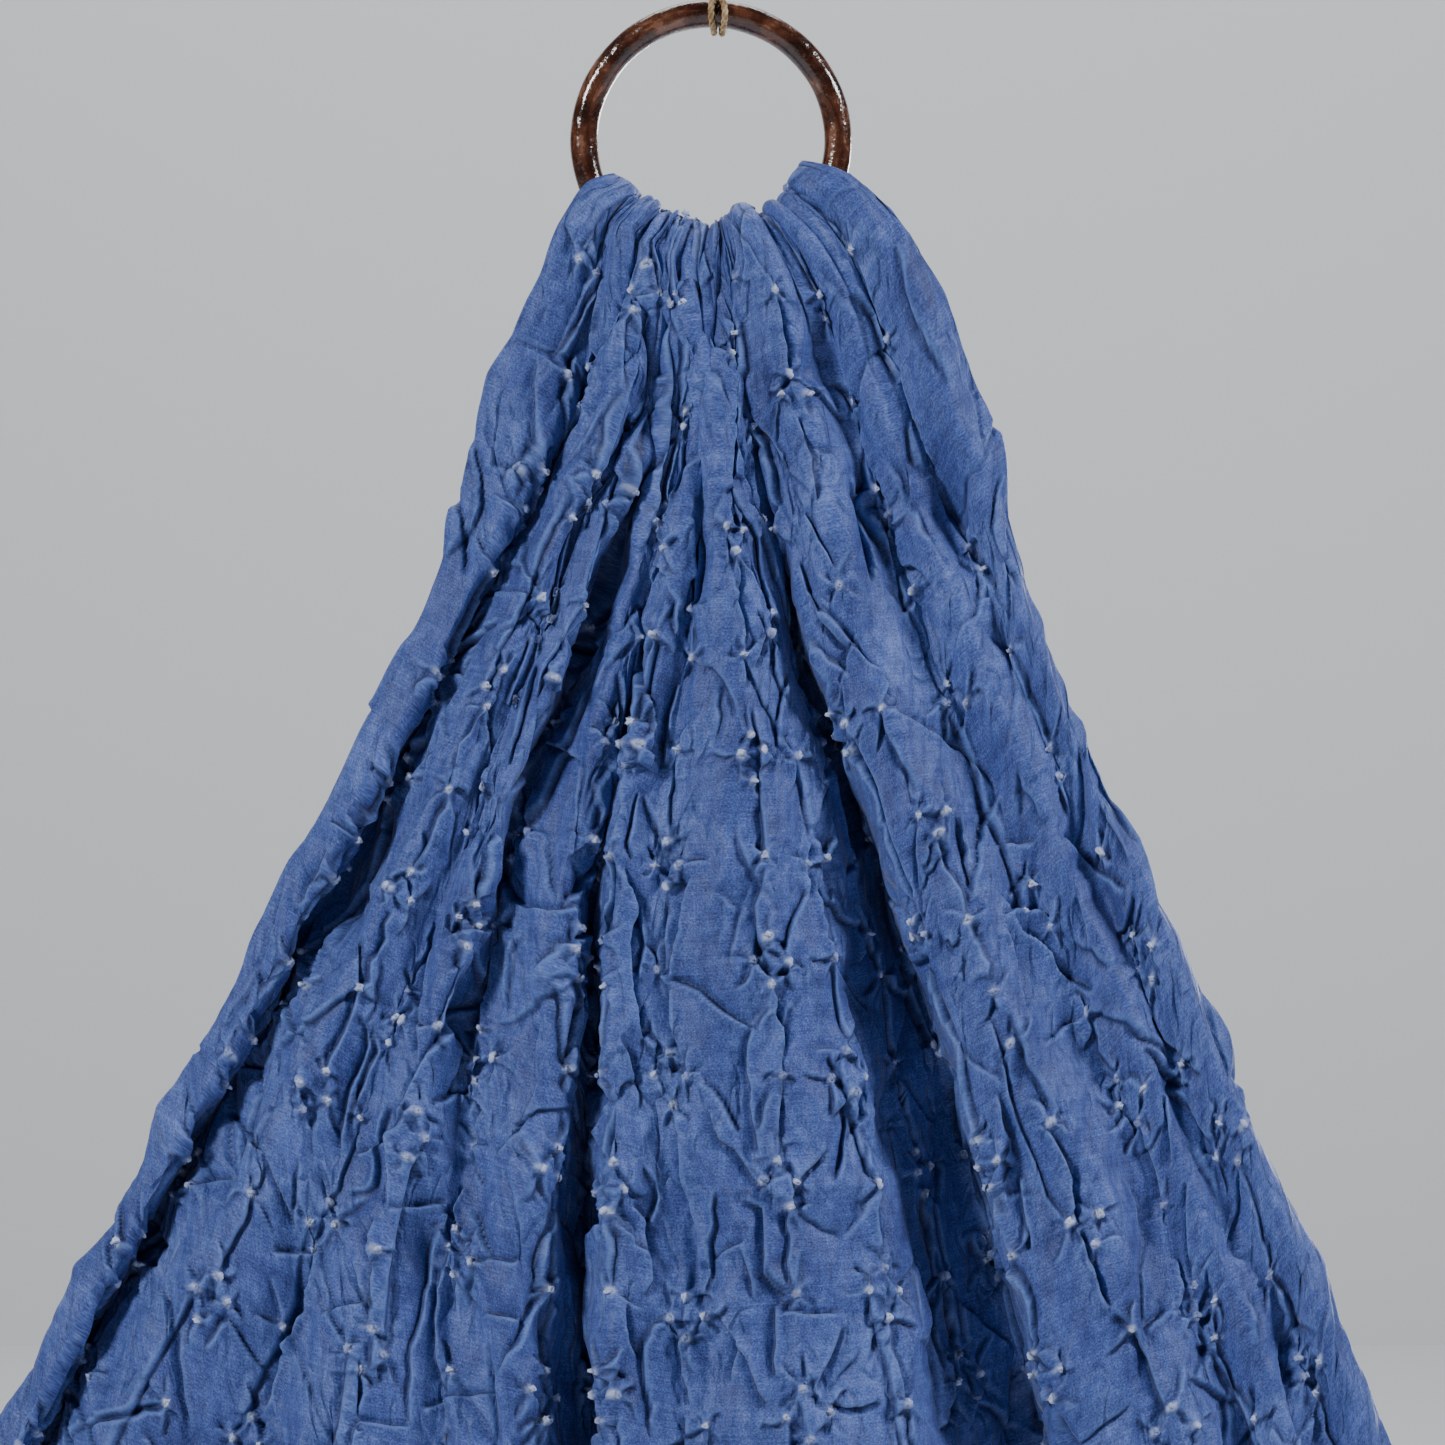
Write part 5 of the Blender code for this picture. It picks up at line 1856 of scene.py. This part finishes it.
def make_rosette():
    """A disc with a dimple, its rim extruded through rings of a radius and a height in mm."""
    bm = bmesh.new()
    radius, height = ROSETTE_DIMPLE
    disc = bmesh.ops.create_circle(bm, cap_ends=True, cap_tris=True, segments=PETALS, radius=radius)
    bmesh.ops.translate(bm, vec=(0, 0, height), verts=disc["verts"])
    middle = min(bm.verts, key=lambda vert: vert.co.xy.length)
    middle.co.z -= DIMPLE_DEPTH
    for wider, level in ROSETTE_RINGS:
        rim = [edge for edge in bm.edges if edge.is_boundary]
        grown = bmesh.ops.extrude_edge_only(bm, edges=rim)["geom"]
        outer = [part for part in grown if isinstance(part, bmesh.types.BMVert)]
        bmesh.ops.scale(bm, vec=(wider / radius, wider / radius, 1.0), verts=outer)
        bmesh.ops.translate(bm, vec=(0, 0, level - height), verts=outer)
        radius, height = wider, level
    bmesh.ops.recalc_face_normals(bm, faces=bm.faces[:])
    mesh = bpy.data.meshes.new("rosette")
    bm.to_mesh(mesh)
    bm.free()
    return mesh


rosette = make_rosette()
print("a rosette of", count_triangles(rosette), "triangles")

# %% The rosettes
ROSETTE_SIZE = 0.84
SQUEEZES = (0.55, 1.2)
PETAL_DEPTH = 0.3
# No two are quite alike: their points are moved a little, in their plane and in height.
ROUGH_RIM = 0.1
ROSETTE_HEIGHTS = (0.6, 1.1)
ROUGH_HEIGHT = 0.16
ROSETTE_LIFT = 0.1
# How white a rosette is at some radii, in mm.
WHITE_RADII = (0.0, 0.9, 1.3, 1.6)
WHITENESS = (1.0, 1.0, 0.75, 0.2)
BRIGHT_SHARE = 0.65
BRIGHT = (0.85, 1.0)
DULL = (0.25, 0.7)
MOTTLED = (0.7, 1.0)


def skin_at(skin, field, place):
    """A field of the skin at a place on the flat cloth, from its nearest point."""
    column = np.abs(skin.columns - place[0]).argmin()
    row = np.abs(skin.rows - place[1]).argmin()
    return field[column, row]


def set_rosettes(skin, seed):
    """The points of all rosettes of a skin, their flat places, and how undyed each one is."""
    rng = np.random.default_rng(seed)
    plain = np.array([vertex.co for vertex in rosette.vertices])
    radius = np.hypot(plain[:, 0], plain[:, 1])
    angle = np.arctan2(plain[:, 1], plain[:, 0])
    inner_white = np.interp(radius, WHITE_RADII, WHITENESS)
    along_u = np.gradient(skin.places, skin.columns, axis=0) / MM
    points, flat, white = [], [], []
    for tie in ties:
        if not skin.rows[0] < tie[1] < skin.rows[-1]:
            continue
        out = skin_at(skin, skin.normals, tie)
        right = skin_at(skin, along_u, tie)
        right = right - out * np.dot(out, right)
        right /= np.linalg.norm(right)
        up = np.cross(out, right)
        squeeze = rng.uniform(*SQUEEZES, 2) * ROSETTE_SIZE
        turn = rng.uniform(0, math.tau)
        petals = 1 + PETAL_DEPTH * np.cos(rng.integers(2, 5) * angle + turn)
        petals += rng.normal(size=len(plain)) * ROUGH_RIM
        x = radius * petals * np.cos(angle + turn) * squeeze[0]
        y = radius * petals * np.sin(angle + turn) * squeeze[1]
        z = plain[:, 2] * rng.uniform(*ROSETTE_HEIGHTS)
        z = z + rng.normal(size=len(plain)) * ROUGH_HEIGHT + ROSETTE_LIFT
        middle = skin_at(skin, skin.places, tie)
        points.append(middle + MM * (x[:, None] * right + y[:, None] * up + z[:, None] * out))
        flat.append((hung(tie) + np.stack([x, y], axis=1)) * MM)
        whiteness = BRIGHT if rng.random() < BRIGHT_SHARE else DULL
        brightness = rng.uniform(*whiteness)
        white.append(inner_white * brightness * rng.uniform(*MOTTLED, len(plain)))
    return np.vstack(points), np.vstack(flat), np.concatenate(white)


def add_rosettes(name, skin, seed):
    """All the rosettes of one half of the cloth, joined as one mesh."""
    points, flat, white = set_rosettes(skin, seed)
    count = len(points) // len(rosette.vertices)
    corner = np.zeros(len(rosette.loops), dtype=int)
    rosette.loops.foreach_get("vertex_index", corner)
    starts = np.array([face.loop_start for face in rosette.polygons])
    copy_number = np.arange(count)[:, None]
    corners = (copy_number * len(rosette.vertices) + corner).ravel()
    mesh = bpy.data.meshes.new(name)
    mesh.vertices.add(len(points))
    mesh.vertices.foreach_set("co", points.ravel())
    mesh.loops.add(len(corners))
    mesh.loops.foreach_set("vertex_index", corners)
    mesh.polygons.add(count * len(starts))
    mesh.polygons.foreach_set("loop_start", (copy_number * len(corner) + starts).ravel())
    mesh.update(calc_edges=True)
    mesh.attributes.new("undyed", "FLOAT", "POINT").data.foreach_set("value", white)
    mesh.uv_layers.new(name="flat").data.foreach_set("uv", flat[corners].ravel())
    mesh.shade_smooth()
    add_piece(name, mesh, silk)
    print(name, count, "rosettes of", count_triangles(mesh), "triangles")


add_rosettes("tied_points_front", front_skin, 41)
add_rosettes("tied_points_back", back_skin, 42)

# %% [markdown]
# ## The room
# The drape hangs in front of a plain pale wall and above a pale floor, in a room deep enough to
# look at it from behind as well. Matt plaster is rough and has no pattern that would draw the
# eye.

# %% The room
FLOOR_Z = -0.8
WALL_Y = 2.8
ROOM_SIZE = 4.0


def add_plane(name, matrix, material):
    """A flat square surface, placed and turned by a matrix."""
    bm = bmesh.new()
    bmesh.ops.create_grid(bm, x_segments=1, y_segments=1, size=ROOM_SIZE, matrix=matrix)
    mesh = bpy.data.meshes.new(name)
    bm.to_mesh(mesh)
    bm.free()
    mesh.materials.append(material)
    plane = bpy.data.objects.new(name, mesh)
    bpy.context.scene.collection.objects.link(plane)
    return plane


plaster, plaster_shader = new_material("pale_plaster")
plaster_shader.inputs["Base Color"].default_value = linear("#C9CCD0")
plaster_shader.inputs["Roughness"].default_value = 0.9
upright = Matrix.Rotation(math.radians(90), 4, "X")
floor = add_plane("floor", Matrix.Translation((0, 0, FLOOR_Z)), plaster)
wall = add_plane("wall", Matrix.Translation((0, WALL_Y, FLOOR_Z + ROOM_SIZE)) @ upright, plaster)
print("a room with its wall", WALL_Y, "m behind the drape")

# %% [markdown]
# ## The light
# A soft light stands in front on the left, above the ring, so every crease has a lit lip and a
# dark valley. A weaker one stands far round to the right: it reaches the right-hand folds but not
# the bottoms of the troughs between them. A third one behind serves the views of the back, low
# enough to leave the crest of the neck alone, and a broad one evens out the wall. The world gives
# hardly any light, so the troughs stay dark, but the camera sees it pale.

# %% The lights
def add_light(name, place, target, size, power, colour):
    """A soft square area light that faces a target."""
    data = bpy.data.lights.new(name, "AREA")
    data.size = size
    data.energy = power
    data.color = linear(colour)[:3]
    light = bpy.data.objects.new(name, data)
    light.location = place
    light.rotation_euler = (Vector(target) - Vector(place)).to_track_quat("-Z", "Y").to_euler()
    bpy.context.scene.collection.objects.link(light)


add_light("left_light", (-2.2, -2.0, 1.25), (0, 0, -0.3), 0.6, 96, "#FFFDF8")
add_light("right_light", (2.1, -0.6, 1.15), (0.15, 0, -0.3), 0.6, 60, "#FBFCFF")
add_light("back_light", (0.8, 1.8, -0.3), (0, 0, -0.35), 0.8, 24, "#FFFFFF")
add_light("wall_light", (0.0, 1.5, 2.2), (0, WALL_Y, -0.2), 2.0, 60, "#FFFFFF")
print("four lights placed")

# %% The world
WORLD_LIGHT = 0.04
WORLD_SEEN = 0.45
world = bpy.data.worlds.new("room")
world.use_nodes = True
background = world.node_tree.nodes["Background"]
background.inputs["Color"].default_value = linear("#DDE4F0")
rays = add_node(world, "ShaderNodeLightPath")
strength = add_node(
    world, "ShaderNodeMath",
    {"operation": "MULTIPLY_ADD", 1: WORLD_SEEN - WORLD_LIGHT, 2: WORLD_LIGHT},
    {0: rays.outputs["Is Camera Ray"]},
)
world.node_tree.links.new(strength.outputs[0], background.inputs["Strength"])
bpy.context.scene.world = world
print("the world gives", WORLD_LIGHT, "and is seen at", WORLD_SEEN)
